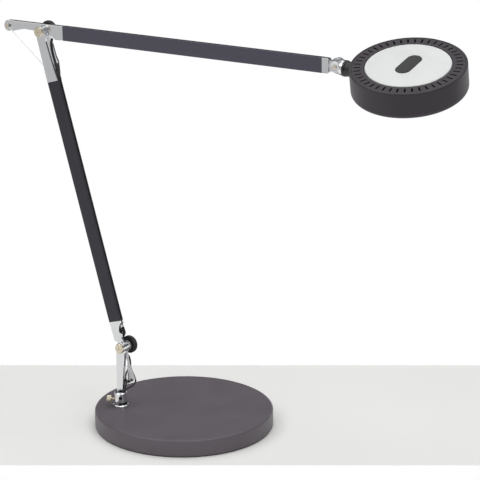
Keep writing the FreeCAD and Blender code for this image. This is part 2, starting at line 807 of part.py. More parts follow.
lower_spring_washer = new_body("lower_spring_washer")
turned(lower_spring_washer, "XY", "V_Axis", [
    ("bolt_radius + fit_gap", FLANGE_STOP),
    ("bolt_radius + 0.9", FLANGE_STOP),
    ("spring_washer_radius", f"{KNOB_START} - 0.8"),
    ("spring_washer_radius", f"{KNOB_START} - 0.1"),
    ("spring_washer_radius - 0.9", f"{KNOB_START} - 0.1"),
    ("bolt_radius + fit_gap", f"{FLANGE_STOP} + 0.7"),
])
finished(lower_spring_washer, POST_FRAME)


def knob(name, frame, start, insert_name):
    """A round ribbed knob with a domed far face, and the brass insert in it."""
    stop = f"({start} + knob_thickness)"
    body = new_body(name)
    turned(body, "XY", "V_Axis", [
        ("insert_radius + fit_gap", start),
        ("knob_radius - knob_edge", start),
        ("knob_radius", f"{start} + knob_edge"),
        ("knob_radius", f"{stop} - knob_shoulder"),
        ("knob_radius - 1.4", f"{stop} - 0.5"),
        ("knob_radius - 3.6", stop),
        ("0", stop),
        ("0", f"{stop} - knob_cap"),
        ("insert_radius + fit_gap", f"{stop} - knob_cap"),
    ])
    groove = pocket(body, "XZ", f"{start} - 1", f"{stop} - knob_shoulder", circles=[
        ("knob_radius + knob_groove * 0.4", "0", "knob_groove")
    ])
    patterned(body, groove, "Y_Axis", "knob_ribs")
    finished(body, frame)
    insert = new_body(insert_name)
    pad(insert, "XZ", start, f"{stop} - knob_cap - 0.2", circles=[
        ("0", "0", "insert_radius"), ("0", "0", "bolt_radius + running_gap")
    ])
    finished(insert, frame)


knob("lower_knob", POST_FRAME, KNOB_START, "lower_insert")

# ---------------------------------------------------------------- lower arm
lower_fitting = new_body("lower_fitting")
pad(lower_fitting, "XZ", f"-{HALF_PROFILE}", TONGUE_STOP, outline=[
    ("-8.3", "lower_start"),
    ("-7.6", "10"),
    ("-4.5", "8.6"),
    ("0.6", "9"),
    ("2.5", "19.5"),
    ("4.3", "24.5"),
    ("5.4", "27.2"),
    ("8.6", "30.6"),
    ("8.6", "lower_start"),
])
pad(lower_fitting, "XZ", TONGUE_START, TONGUE_STOP, outline=[
    ("-7.6", "11"),
    ("-6.5", "0"),
    ("cheek_round", "0"),
    ("1.3", "12"),
])
pad(lower_fitting, "XZ", TONGUE_START, TONGUE_STOP, circles=[("0", "0", "cheek_round + 0.1")])
pad(lower_fitting, "XY", "lower_start - 0.5", "lower_start + fitting_plug", outline=[
    (f"fit_gap - {INNER_LEFT}", f"fit_gap - {INNER_HALF}"),
    (f"{INNER_RIGHT} - fit_gap", f"fit_gap - {INNER_HALF}"),
    (f"{INNER_RIGHT} - fit_gap", f"{INNER_HALF} - fit_gap"),
    (f"fit_gap - {INNER_LEFT}", f"{INNER_HALF} - fit_gap"),
])
pocket(lower_fitting, "XZ", f"-{HALF_PROFILE} - 1", f"{TONGUE_STOP} + 1", circles=[
    ("0", "0", "bolt_radius + running_gap")
])
pocket(lower_fitting, "XZ", "-slot_width / 2", "slot_width / 2", outline=[
    (f"{HALF_WIDTH} - slot_depth", "26"),
    (f"{HALF_WIDTH} + 1", "22"),
    (f"{HALF_WIDTH} + 1", "lower_start + 1"),
    (f"{HALF_WIDTH} - slot_depth", "lower_start + 1"),
])
finished(lower_fitting, LOWER_FRAME)


def section(side):
    """An arm profile's outline, with its cable slot open towards +side."""
    half, wide = HALF_PROFILE, HALF_WIDTH
    return [
        (f"-{wide}", f"-{half}"),
        (wide, f"-{half}"),
        (wide, "-slot_width / 2"),
        (f"{wide} - slot_depth", "-slot_width / 2"),
        (f"{wide} - slot_depth", "slot_width / 2"),
        (wide, "slot_width / 2"),
        (wide, half),
        (f"-{wide}", half),
    ]


CHANNEL = [
    (f"-{INNER_LEFT}", f"-{INNER_HALF}"),
    (INNER_RIGHT, f"-{INNER_HALF}"),
    (INNER_RIGHT, INNER_HALF),
    (f"-{INNER_LEFT}", INNER_HALF),
]

lower_profile = new_body("lower_profile")
pad(lower_profile, "XY", "lower_start", LOWER_STOP, outline=section("x"))
pocket(lower_profile, "XY", "lower_start - 1", f"{LOWER_STOP} + 1", outline=CHANNEL)
FORK_SCREWS = (("-4.8", f"{LOWER_STOP} - 8"), ("-4.8", f"{LOWER_STOP} - 17"))
pocket(lower_profile, "XZ", "0", f"{HALF_PROFILE} + 1", circles=[
    (x, z, "fork_screw_radius + fit_gap") for x, z in FORK_SCREWS
])
profile_corner = (size("profile_width") / 2, size("profile_thickness") / 2)
eased(lower_profile, "Fillet", "profile_edge", along("z", *profile_corner))
finished(lower_profile, LOWER_FRAME)

# Fork cheeks: drawn from the elbow hinge down. Each has a tab inside the profile's channel.
fork_near = new_body("fork_near")
pad(fork_near, "XZ", "fork_near_start", FORK_NEAR_STOP, outline=[
    ("-fork_round", "0"),
    ("-8.1", "-lower_end"),
    ("8.6", "-lower_end"),
    ("7.3", "-48.5"),
    ("6.2", "-31"),
    ("5.4", "-13"),
    ("fork_round", "0"),
])
pad(fork_near, "XZ", "fork_near_start", FORK_NEAR_STOP, circles=[("0", "0", "fork_round")])
fork_near_faces = (size("fork_near_start"), size("fork_near_start") + size("fork_thickness"))
eased(fork_near, "Chamfer", "edge_bevel", rim_of(fork_near_faces))
pad(fork_near, "XZ", f"fit_gap - {INNER_HALF}", f"fork_tab_thickness - {INNER_HALF}", outline=[
    (f"fit_gap - {INNER_LEFT}", "-lower_end - fork_tab"),
    ("-2.6", "-lower_end - fork_tab"),
    ("-2.6", "3 - lower_end"),
    (f"fit_gap - {INNER_LEFT}", "3 - lower_end"),
])
TAB_SCREWS = (("-4.8", "-lower_end - 8"), ("-4.8", "-lower_end - 17"))
pocket(fork_near, "XZ", "fork_near_start - 1", f"{FORK_NEAR_STOP} + 1", circles=[
    ("0", "0", "bolt_radius + fit_gap")
])
pocket(fork_near, "XZ", "fork_near_start + guide_pin_cover", f"{FORK_NEAR_STOP} + 2", circles=[
    ("guide_pin_x", "-guide_drop", "guide_pin_radius + fit_gap")
])
pocket(fork_near, "XZ", f"-{HALF_PROFILE}", "0", circles=[
    (x, z, "fork_screw_radius + fit_gap") for x, z in TAB_SCREWS
])
finished(fork_near, ELBOW_FRAME)

STEP_TOP = "-40"
STEP_FOOT = "-57"
FAR_FOOT = f"({HALF_PROFILE} - fork_far_thickness)"
fork_far = new_body("fork_far")
pad(fork_far, "YZ", "-8.1", "9.1", outline=[
    (FAR_FOOT, "-lower_end"),
    (HALF_PROFILE, "-lower_end"),
    (HALF_PROFILE, STEP_FOOT),
    (FORK_FAR_STOP, STEP_TOP),
    (FORK_FAR_STOP, "0"),
    ("fork_far_start", "0"),
    ("fork_far_start", f"{STEP_TOP} - 1.5"),
    (FAR_FOOT, f"{STEP_FOOT} - 1.5"),
])
pad(fork_far, "XZ", "fork_far_start", FORK_FAR_STOP, circles=[("0", "0", "fork_round")])
pocket(fork_far, "XZ", f"{FAR_FOOT} - 1", f"{FORK_FAR_STOP} + 1", outline=[
    ("fork_round", "0.1"),
    ("4.0", "-17"),
    ("4.4", "-33"),
    ("7.2", "-47"),
    ("8.2", "-52"),
    ("9.1", "-lower_end"),
    ("12", "-lower_end - 1"),
    ("12", "0.1"),
])
pocket(fork_far, "XZ", f"{FAR_FOOT} - 1", f"{FORK_FAR_STOP} + 1", outline=[
    ("-fork_round", "0.1"),
    ("-fork_round", "-20"),
    ("-8", "-lower_end"),
    ("-12", "-lower_end - 1"),
    ("-12", "0.1"),
])
pad(fork_far, "XZ", f"{INNER_HALF} - fork_tab_thickness", f"{INNER_HALF} - fit_gap", outline=[
    (f"fit_gap - {INNER_LEFT}", "-lower_end - fork_tab"),
    ("-2.6", "-lower_end - fork_tab"),
    ("-2.6", "1.5 - lower_end"),
    (f"fit_gap - {INNER_LEFT}", "1.5 - lower_end"),
])
pocket(fork_far, "XZ", f"{FAR_FOOT} - 1", f"{FORK_FAR_STOP} + 1", circles=[
    ("0", "0", "bolt_radius + fit_gap")
] + [(x, z, "fork_screw_radius + fit_gap") for x, z in TAB_SCREWS])
finished(fork_far, ELBOW_FRAME)

fork_screws = new_body("fork_screws")
pad(fork_screws, "XZ", f"fit_gap - {INNER_HALF}", HALF_PROFILE, circles=[
    (x, z, "fork_screw_radius") for x, z in TAB_SCREWS
])
finished(fork_screws, ELBOW_FRAME)

guide_pin = new_body("guide_pin")
pad(guide_pin, "XZ", "fork_near_start + guide_pin_cover", FAR_FOOT, circles=[
    ("guide_pin_x", "-guide_drop", "guide_pin_radius")
])
finished(guide_pin, ELBOW_FRAME)

# The wire slides over a grooved guide, which is pressed on its pin.
wire_guide = new_body("wire_guide")
turned(wire_guide, "XY", "V_Axis", [
    ("guide_pin_radius + fit_gap", "wire_plane - guide_width / 2"),
    ("guide_radius", "wire_plane - guide_width / 2"),
    ("guide_radius - 0.7", "wire_plane"),
    ("guide_radius", "wire_plane + guide_width / 2"),
    ("guide_pin_radius + fit_gap", "wire_plane + guide_width / 2"),
])
GUIDE_FRAME = (
    f"{ELBOW_X} + guide_pin_x * cos(lower_lean) + guide_drop * sin(lower_lean)",
    "arm_plane",
    f"{ELBOW_Z} + guide_pin_x * sin(lower_lean) - guide_drop * cos(lower_lean)",
    "0", "-lower_lean", "0",
)
finished(wire_guide, GUIDE_FRAME)

upper_bolt = new_body("upper_bolt")
turned(upper_bolt, "XY", "V_Axis", [
    ("0", "fork_near_start - bolt_head_length + 0.8"),
    ("bolt_dimple", "fork_near_start - bolt_head_length + 0.8"),
    ("bolt_dimple", "fork_near_start - bolt_head_length"),
    ("bolt_head - 0.6", "fork_near_start - bolt_head_length"),
    ("bolt_head", "fork_near_start - bolt_head_length + 0.6"),
    ("bolt_head", "fork_near_start - 0.5"),
    ("bolt_head - 0.5", "fork_near_start"),
    ("bolt_radius", "fork_near_start"),
    ("bolt_radius", f"{FORK_FAR_STOP} + knob_thickness - knob_cap - 0.4"),
    ("0", f"{FORK_FAR_STOP} + knob_thickness - knob_cap - 0.4"),
])
finished(upper_bolt, ELBOW_FRAME)

upper_washers = new_body("upper_washers")
for low, high in (
    (FORK_NEAR_STOP, BEAK_START),
    (BEAK_STOP, "fork_far_start"),
    (FORK_FAR_STOP, f"{FORK_FAR_STOP} + washer_thickness"),
):
    pad(upper_washers, "XZ", low, high, circles=[
        ("0", "0", "washer_radius"), ("0", "0", "bolt_radius + fit_gap")
    ])
finished(upper_washers, ELBOW_FRAME)

knob("upper_knob", ELBOW_FRAME, f"({FORK_FAR_STOP} + washer_thickness)", "upper_insert")

# The wire runs over the guide, down the channel to a hook on the spring, whose foot is anchored.
HOOK_TOP = f"({LOWER_STOP} - spring_top + hook_length)"
spring_hook = new_body("spring_hook")
pad(spring_hook, "XY", f"{LOWER_STOP} - spring_top", HOOK_TOP, circles=[
    ("0", "wire_plane", "spring_radius - 0.3")
])
pad(spring_hook, "XY", f"{HOOK_TOP} - 1", f"{LOWER_STOP} - 24", circles=[
    ("0", "wire_plane", "balance_wire_radius")
])
finished(spring_hook, LOWER_FRAME)

balance_spring = new_body("balance_spring")
SPRING_FOOT = f"({LOWER_STOP} - spring_top - spring_length)"
pad(balance_spring, "XY", SPRING_FOOT, f"{LOWER_STOP} - spring_top", circles=[
    ("0", "wire_plane", "spring_radius"), ("0", "wire_plane", "spring_hole")
])
finished(balance_spring, LOWER_FRAME)

# Anchor block for the spring's foot, across the channel.
spring_anchor = new_body("spring_anchor")
pad(spring_anchor, "XY", f"{SPRING_FOOT} - 8", SPRING_FOOT, outline=[
    (f"fit_gap - {INNER_LEFT}", f"fit_gap - {INNER_HALF}"),
    (f"{INNER_RIGHT} - fit_gap", f"fit_gap - {INNER_HALF}"),
    (f"{INNER_RIGHT} - fit_gap", f"{INNER_HALF} - fit_gap"),
    (f"fit_gap - {INNER_LEFT}", f"{INNER_HALF} - fit_gap"),
])
finished(spring_anchor, LOWER_FRAME)

# ---------------------------------------------------------------- upper arm
BEAK_TOP = f"({HALF_WIDTH} - 0.2)"
beak_lever = new_body("beak_lever")
pad(beak_lever, "XZ", BEAK_START, BEAK_STOP, outline=[
    ("tail_x", "tail_z + tail_round - 0.05"),
    ("tail_x - 0.5", "tail_z"),
    ("-46.2", "-5.0"),
    ("-42.9", "-3.4"),
    ("-28.7", "-0.2"),
    ("-14.7", "-0.7"),
    ("-7.0", "-2.6"),
    ("6.4", "-1.8"),
    ("15.1", "-5.7"),
    ("18.7", f"-{BEAK_TOP}"),
    ("upper_start", f"-{BEAK_TOP}"),
    ("upper_start", BEAK_TOP),
])
pad(beak_lever, "XZ", BEAK_START, BEAK_STOP, circles=[("tail_x", "tail_z", "tail_round")])
pad(beak_lever, "XZ", BEAK_START, BEAK_STOP, circles=[("0", "0", "beak_boss")])
beak_faces = [size("upper_plane") + side * size("beak_thickness") / 2 for side in (-1, 1)]
eased(beak_lever, "Chamfer", "edge_bevel", rim_of(beak_faces))
pad(beak_lever, "YZ", "upper_start - 0.5", "upper_start + fitting_plug", outline=[
    (f"upper_plane + fit_gap - {INNER_HALF}", f"fit_gap - {INNER_LEFT}"),
    (f"upper_plane - fit_gap + {INNER_HALF}", f"fit_gap - {INNER_LEFT}"),
    (f"upper_plane - fit_gap + {INNER_HALF}", f"{INNER_RIGHT} - fit_gap"),
    (f"upper_plane + fit_gap - {INNER_HALF}", f"{INNER_RIGHT} - fit_gap"),
])
# The cable's slot in the lever's top runs from the notch over the tail to the profile's slot.
pocket(beak_lever, "XZ", "upper_plane - slot_width / 2", "upper_plane + slot_width / 2", outline=[
    ("-47", f"{BEAK_TOP} - 1.8"),
    ("9.2", f"{BEAK_TOP} - 1.8"),
    ("11", f"{HALF_WIDTH} - slot_depth"),
    ("upper_start + 1", f"{HALF_WIDTH} - slot_depth"),
    ("upper_start + 1", f"{BEAK_TOP} + 1"),
    ("-47", f"{BEAK_TOP} + 1"),
])
pocket(beak_lever, "XZ", f"{BEAK_START} - 1", f"{BEAK_STOP} + 1", circles=[
    ("0", "0", "bolt_radius + running_gap"), ("tail_x", "tail_z", "tail_pin_radius + fit_gap")
])
ENTRY_FRAME = (
    f"{ELBOW_X} + 10.5", "arm_plane + upper_plane", f"{ELBOW_Z} - 11", "0", "28", "0",
)
beak_entry = rod("beak_entry", "wire_radius + 0.25", "22", ENTRY_FRAME)
placed(beak_lever, UPPER_FRAME)
beak_lever.Label = "beak_solid"
beak = cut_from("beak_drilled", beak_lever, [beak_entry])
beak.Label = "beak_lever"
EXPORT.append(beak)

tail_pin = new_body("tail_pin")
turned(tail_pin, "XY", "V_Axis", [
    ("0", "wire_plane - 1.7"),
    ("tail_pin_head", "wire_plane - 1.7"),
    ("tail_pin_head", "wire_plane - 0.9"),
    ("tail_pin_radius", "wire_plane - 0.9"),
    ("tail_pin_radius", BEAK_STOP),
    ("0", BEAK_STOP),
])
TAIL_FRAME = (
    f"{ELBOW_X} + tail_x * cos(upper_rise) - tail_z * sin(upper_rise)",
    "arm_plane",
    f"{ELBOW_Z} + tail_x * sin(upper_rise) + tail_z * cos(upper_rise)",
    "0", "-upper_rise", "0",
)
finished(tail_pin, TAIL_FRAME)

# The wire: an eye on the tail pin, a straight stretch to the guide, and its tip there.
tail_to_guide_x = f"({ELBOW_X} + guide_drop * sin(lower_lean) - ({TAIL_FRAME[0]}))"
tail_to_guide_z = f"({ELBOW_Z} - guide_drop * cos(lower_lean) - ({TAIL_FRAME[2]}))"
WIRE_PITCH = f"atan(-{tail_to_guide_z} / {tail_to_guide_x})"
WIRE_REACH = f"sqrt({tail_to_guide_x} ^ 2 + {tail_to_guide_z} ^ 2)"
WIRE_FRAME = (TAIL_FRAME[0], "arm_plane + wire_plane", TAIL_FRAME[2], "0", WIRE_PITCH, "0")

wire_eye = new_body("wire_eye")
pad(wire_eye, "XZ", "-0.85", "0.85", circles=[
    ("0", "0", "tail_pin_head - 0.1"), ("0", "0", "tail_pin_radius + running_gap")
])
turned(wire_eye, "XZ", "H_Axis", [
    ("tail_pin_radius + 0.4", "0"),
    ("tail_pin_radius + 0.4", "0.85"),
    ("tail_pin_radius + 5", "0.85"),
    ("tail_pin_radius + 5", "0"),
])
finished(wire_eye, WIRE_FRAME)

balance_wire = new_body("balance_wire")
pad(balance_wire, "YZ", "tail_pin_radius + 5", f"{WIRE_REACH} - 3", circles=[
    ("0", "0", "balance_wire_radius")
])
finished(balance_wire, WIRE_FRAME)

wire_tip = new_body("wire_tip")
pad(wire_tip, "YZ", f"{WIRE_REACH} - 3", WIRE_REACH, circles=[("0", "0", "balance_wire_radius")])
finished(wire_tip, WIRE_FRAME)

upper_profile = new_body("upper_profile")
pad(upper_profile, "YZ", "upper_start", UPPER_STOP, outline=[
    (f"upper_plane + {y}", z) for z, y in section("z")
])
pocket(upper_profile, "YZ", "upper_start - 1", f"{UPPER_STOP} + 1", outline=[
    (f"upper_plane + {y}", z) for z, y in CHANNEL
])
upper_middle = size("upper_plane")
eased(upper_profile, "Fillet", "profile_edge", lambda edge: any(
    along("x", upper_middle + side * profile_corner[1], profile_corner[0])(edge) for side in (-1, 1)
))
finished(upper_profile, UPPER_FRAME)

TILT_HALF = "(tilt_tongue / 2)"
TILT_FAR = "(beak_thickness / 2)"
end_plug = new_body("end_plug")
pad(end_plug, "XZ", BEAK_START, BEAK_STOP, outline=[
    (UPPER_STOP, "-plug_height"),
    (f"{PLUG_END} - 1.5", "-plug_height"),
    (PLUG_END, "1.5 - plug_height"),
    (PLUG_END, "plug_height - 1.5"),
    (f"{PLUG_END} - 1.5", "plug_height"),
    (UPPER_STOP, "plug_height"),
])
eased(end_plug, "Chamfer", "edge_bevel", rim_of(beak_faces))
pad(end_plug, "XZ", f"upper_plane - {TILT_HALF}", BEAK_STOP, outline=[
    (f"{PLUG_END} - 1", "-tilt_eye"),
    ("upper_length", "-tilt_eye"),
    ("upper_length", "tilt_eye"),
    (f"{PLUG_END} - 1", "tilt_eye"),
])
pad(end_plug, "XZ", f"upper_plane - {TILT_HALF}", BEAK_STOP, circles=[
    ("upper_length", "0", "tilt_eye")
])
pad(end_plug, "YZ", f"{UPPER_STOP} - fitting_plug", f"{UPPER_STOP} + 0.5", outline=[
    (f"upper_plane + fit_gap - {INNER_HALF}", f"fit_gap - {INNER_LEFT}"),
    (f"upper_plane - fit_gap + {INNER_HALF}", f"fit_gap - {INNER_LEFT}"),
    (f"upper_plane - fit_gap + {INNER_HALF}", f"{INNER_RIGHT} - fit_gap"),
    (f"upper_plane + fit_gap - {INNER_HALF}", f"{INNER_RIGHT} - fit_gap"),
])
pocket(end_plug, "XZ", f"{BEAK_START} - 1", f"{BEAK_STOP} + 1", circles=[
    ("upper_length", "0", "bolt_radius + running_gap")
])
pocket(end_plug, "XZ", f"upper_plane - slot_width / 2", f"upper_plane + slot_width / 2", outline=[
    (f"{UPPER_STOP} - 1", f"{HALF_WIDTH} - slot_depth"),
    (f"{PLUG_END} - 2.5", f"{HALF_WIDTH} - slot_depth"),
    (f"{PLUG_END} - 2.5", f"{HALF_WIDTH} + 1"),
    (f"{UPPER_STOP} - 1", f"{HALF_WIDTH} + 1"),
])
finished(end_plug, UPPER_FRAME)

# ---------------------------------------------------------------- tilt hinge and neck
EAR_NEAR = f"(-{TILT_HALF} - ear_gap - ear_thickness)"
EAR_FAR = f"({TILT_FAR} + ear_gap + ear_thickness)"
tilt_bolt = new_body("tilt_bolt")
turned(tilt_bolt, "XY", "V_Axis", [
    ("0", f"{EAR_NEAR} - 0.6"),
    ("2.4", f"{EAR_NEAR} - 0.6"),
    ("2.4", f"{EAR_NEAR} - 0.2"),
    ("tilt_disc - 0.5", f"{EAR_NEAR} - 1.3"),
    ("tilt_disc", f"{EAR_NEAR} - 0.9"),
    ("tilt_disc", EAR_NEAR),
    ("bolt_radius", EAR_NEAR),
    ("bolt_radius", f"{EAR_FAR} + 2.6"),
    ("0", f"{EAR_FAR} + 2.6"),
])
finished(tilt_bolt, NECK_FRAME)

tilt_nut = new_body("tilt_nut")
pad(tilt_nut, "XZ", EAR_FAR, f"{EAR_FAR} + 2.8", circles=[
    ("0", "0", "tilt_disc - 0.6"), ("0", "0", "bolt_radius + fit_gap")
])
finished(tilt_nut, NECK_FRAME)

knuckle = new_body("knuckle")
for low, high, radius, side in (
    (EAR_NEAR, f"-{TILT_HALF} - ear_gap", "ear_near_radius", "6.4"),
    (f"{TILT_FAR} + ear_gap", EAR_FAR, "ear_far_radius", "7.2"),
):
    pad(knuckle, "XZ", low, high, outline=[
        ("0", f"-{side}"),
        ("bridge_start + 0.5", f"-{side}"),
        ("bridge_start + 0.5", side),
        ("0", side),
    ])
    pad(knuckle, "XZ", low, high, circles=[("0", "0", radius)])
pad(knuckle, "YZ", "bridge_start", "bridge_start + bridge_thickness", circles=[("0", "0", "bridge_radius")])
pocket(knuckle, "XZ", f"{EAR_NEAR} - 1", f"{EAR_FAR} + 1", circles=[("0", "0", "bolt_radius + fit_gap")])
pocket(knuckle, "YZ", "bridge_start - 1", "bridge_start + bridge_thickness + 1", circles=[
    ("0", "0", "neck_pin_radius + fit_gap")
])
finished(knuckle, NECK_FRAME)

NECK_START = "(bridge_start + bridge_thickness)"
neck_sleeve = new_body("neck_sleeve")
turned(neck_sleeve, "XZ", "H_Axis", [
    (NECK_START, "neck_pin_radius + fit_gap"),
    (NECK_START, "neck_radius"),
    (f"{NECK_START} + 2.4", "neck_radius"),
    (f"{NECK_START} + 3.2", "neck_waist"),
    ("neck_end - 2.4", "neck_waist"),
    ("neck_end - 1.6", "neck_radius"),
    ("neck_end", "neck_radius"),
    ("neck_end", "neck_pin_radius + fit_gap"),
])
finished(neck_sleeve, NECK_FRAME)

SOCKET_STOP = f"({NECK_REACH} - head_radius + socket_depth)"
neck_pin = new_body("neck_pin")
turned(neck_pin, "XZ", "H_Axis", [
    ("bridge_start + 0.2", "0"),
    ("bridge_start + 0.2", "neck_pin_radius"),
    (f"{SOCKET_STOP} + 0.1", "neck_pin_radius"),
    (f"{SOCKET_STOP} + 0.1", "socket_radius - 0.4"),
    (f"{SOCKET_STOP} + 1.5", "socket_radius - 0.4"),
    (f"{SOCKET_STOP} + 1.5", "0"),
])
finished(neck_pin, NECK_FRAME)

# ---------------------------------------------------------------- head
head_housing = new_body("head_housing")
turned(head_housing, "XZ", "V_Axis", [
    (LIP_RADIUS, HEAD_BOTTOM),
    ("head_radius", HEAD_BOTTOM),
    ("head_radius", "head_top"),
    ("head_radius - head_wall", "head_top"),
    ("head_radius - head_wall", "ledge_height"),
    ("head_radius - ledge_wall", "ledge_height"),
    ("head_radius - ledge_wall", f"{HEAD_BOTTOM} + lip_thickness"),
    (LIP_RADIUS, f"{HEAD_BOTTOM} + lip_thickness"),
])
eased(head_housing, "Fillet", "head_bottom_round", ring_at(
    "z", size("head_top") - size("head_height"), size("head_radius")))
eased(head_housing, "Fillet", "head_top_round", ring_at("z", size("head_top"), size("head_radius")))
pad(head_housing, "YZ", f"neck_end - {NECK_REACH} + 0.3", "socket_depth - head_radius", circles=[
    ("0", "0", "socket_radius")
])
pad(head_housing, "YZ", f"neck_end - {NECK_REACH} + 0.3", "2 - head_radius", circles=[
    ("0", "0", "collar_radius")
])
pocket(head_housing, "YZ", f"-{NECK_REACH}", "socket_depth - head_radius + 1", circles=[
    ("0", "0", "neck_pin_radius + running_gap")
])
finished(head_housing, DRUM_FRAME)

vent_ring = new_body("vent_ring")
turned(vent_ring, "XZ", "V_Axis", [
    (VENT_INNER, f"{PLATE_BOTTOM}"),
    (CORE_RADIUS, f"{PLATE_BOTTOM}"),
    (CORE_RADIUS, "head_top - 0.2 - vent_thickness"),
    (VENT_OUTER, "head_top - 0.2 - vent_thickness"),
    (VENT_OUTER, "head_top - 0.2"),
    (VENT_INNER, "head_top - 0.2"),
])
vent_slot = pocket(vent_ring, "XY", "head_top - 1 - vent_thickness", "head_top", outline=[
    (VENT_SLOT_START, "-vent_slot_width / 2"),
    (VENT_SLOT_STOP, "-vent_slot_width / 2"),
    (VENT_SLOT_STOP, "vent_slot_width / 2"),
    (VENT_SLOT_START, "vent_slot_width / 2"),
])
patterned(vent_ring, vent_slot, "Z_Axis", "vent_count")
finished(vent_ring, DRUM_FRAME)


def stadium(body, operation, low, high, grow):
    """The button's long round-ended outline, grown by a margin: a bar and its two ends."""
    half = f"(button_width / 2 + {grow})"
    straight = "((button_length - button_width) / 2)"
    ends = [("0", f"button_offset + {straight}", half), ("0", f"button_offset - {straight}", half)]
    bar = [
        (f"-{half}", f"button_offset - {straight}"),
        (half, f"button_offset - {straight}"),
        (half, f"button_offset + {straight}"),
        (f"-{half}", f"button_offset + {straight}"),
    ]
    operation(body, "XY", low, high, outline=bar)
    for end in ends:
        operation(body, "XY", low, high, circles=[end])


top_plate = new_body("top_plate")
pad(top_plate, "XY", PLATE_BOTTOM, f"{PLATE_BOTTOM} + plate_thickness", circles=[("0", "0", PLATE_RADIUS)])
plate_top = size("head_top") + 0.2
plate_radius = sheet_value(PLATE_RADIUS)
eased(top_plate, "Chamfer", "plate_bevel", ring_at("z", plate_top, plate_radius))
stadium(top_plate, pocket, f"{PLATE_BOTTOM} - 1", "head_top + 1", "button_gap")
finished(top_plate, DRUM_FRAME)

SINK_TOP = f"({SINK_BOTTOM} + sink_plate)"
BUTTON_FLOOR = f"({PLATE_BOTTOM} - 6)"
heat_sink = new_body("heat_sink")
turned(heat_sink, "XZ", "V_Axis", [
    ("0", SINK_BOTTOM),
    ("head_radius - head_wall - 0.2", SINK_BOTTOM),
    ("head_radius - head_wall - 0.2", SINK_TOP),
    (CORE_RADIUS, SINK_TOP),
    (CORE_RADIUS, PLATE_BOTTOM),
    (f"{CORE_RADIUS} - sink_wall", PLATE_BOTTOM),
    (f"{CORE_RADIUS} - sink_wall", SINK_TOP),
    ("sink_hub", SINK_TOP),
    ("sink_hub", PLATE_BOTTOM),
    ("0", PLATE_BOTTOM),
])
stadium(heat_sink, pocket, BUTTON_FLOOR, f"{PLATE_BOTTOM} + 1", "button_lip + button_gap")
finished(heat_sink, DRUM_FRAME)

led_board = new_body("led_board")
pad(led_board, "XY", f"{SINK_BOTTOM} - board_thickness", SINK_BOTTOM, circles=[("0", "0", BOARD_RADIUS)])
finished(led_board, DRUM_FRAME)

led_chips = new_body("led_chips")
BOARD_FACE = f"({SINK_BOTTOM} - board_thickness)"
pad(led_chips, "XY", f"{BOARD_FACE} - led_height", BOARD_FACE, outline=[
    (f"{LED_CIRCLE} - led_side / 2", "-led_side / 2"),
    (f"{LED_CIRCLE} + led_side / 2", "-led_side / 2"),
    (f"{LED_CIRCLE} + led_side / 2", "led_side / 2"),
    (f"{LED_CIRCLE} - led_side / 2", "led_side / 2"),
])
patterned(led_chips, led_chips.Tip, "Z_Axis", "led_count")
finished(led_chips, DRUM_FRAME)

diffuser = new_body("diffuser")
LIP_TOP = f"({HEAD_BOTTOM} + lip_thickness)"
pad(diffuser, "XY", LIP_TOP, f"{LIP_TOP} + diffuser_thickness", circles=[
    ("0", "0", "head_radius - ledge_wall - 0.2")
])
finished(diffuser, DRUM_FRAME)

BOARD_TOP = f"({BUTTON_FLOOR} + 1.2)"
switch_board = new_body("switch_board")
pad(switch_board, "XY", BUTTON_FLOOR, BOARD_TOP, outline=[
    ("-7", "button_offset - 14"),
    ("7", "button_offset - 14"),
    ("7", "button_offset + 14"),
    ("-7", "button_offset + 14"),
])

BUTTON_BOTTOM = f"({PLATE_BOTTOM} - 1.6)"
pad(switch_board, "XY", f"{BOARD_TOP} - 0.2", f"{BOARD_TOP} + 1.8", outline=[
    ("-3", "button_offset - 3"),
    ("3", "button_offset - 3"),
    ("3", "button_offset + 3"),
    ("-3", "button_offset + 3"),
])
pad(switch_board, "XY", f"{BOARD_TOP} + 1", f"{BUTTON_BOTTOM} - button_travel - 0.1", circles=[
    ("0", "button_offset", "1.6")
])
finished(switch_board, DRUM_FRAME)

head_button = new_body("head_button")
stadium(head_button, pad, BUTTON_BOTTOM, "head_top + 0.2 + button_proud", "0")
stadium(head_button, pad, BUTTON_BOTTOM, f"{PLATE_BOTTOM} - 0.1", "button_lip")
finished(head_button, DRUM_FRAME)

# ---------------------------------------------------------------- arm cables and sleeves
lower_start, lower_stop = size("lower_start"), size("lower_length") - size("lower_end")
wire_radius, sleeve_radius = size("wire_radius"), size("sleeve_radius")
slot_x = size("profile_width") / 2 - wire_radius - 0.4
elbow_drop = size("lower_length")
cable("lower_cable", [[
    VECTOR(slot_x - 0.2, 0.25, lower_start - 9.4),
    VECTOR(slot_x, 0, lower_start - 3),
    VECTOR(slot_x, 0, lower_stop - 6),
    VECTOR(slot_x, -0.45, lower_stop + 2.5),
    VECTOR(slot_x + 0.2, 1.0, elbow_drop - 50),
]], wire_radius, LOWER_FRAME)

# Sleeve past the lower hinge: off the arm's cable, behind the bush and down beside the fin.
lean = math.radians(size("lower_lean"))


def leaned(across, level, along):
    """A point given across and along the lower arm, in the hinge's upright frame."""
    return VECTOR(
        across * math.cos(lean) - along * math.sin(lean),
        level,
        across * math.sin(lean) + along * math.cos(lean),
    )


SLEEVE_END = VECTOR(4.0, 8.0, -26.0)
cable("lower_sleeve", [[
    VECTOR(0, 0.3, 25.2),
    VECTOR(-0.6, 1.7, 21.0),
    VECTOR(-3.2, 5.5, 16.5),
    VECTOR(-6.0, 7.5, 11.0),
    VECTOR(-9.6, 8.1, 4.6),
    VECTOR(-9.0, 8.2, -5.8),
    VECTOR(-1.4, 8.3, -11.8),
    VECTOR(3.8, 8.3, -16.2),
    SLEEVE_END,
]], sleeve_radius, POST_FRAME)

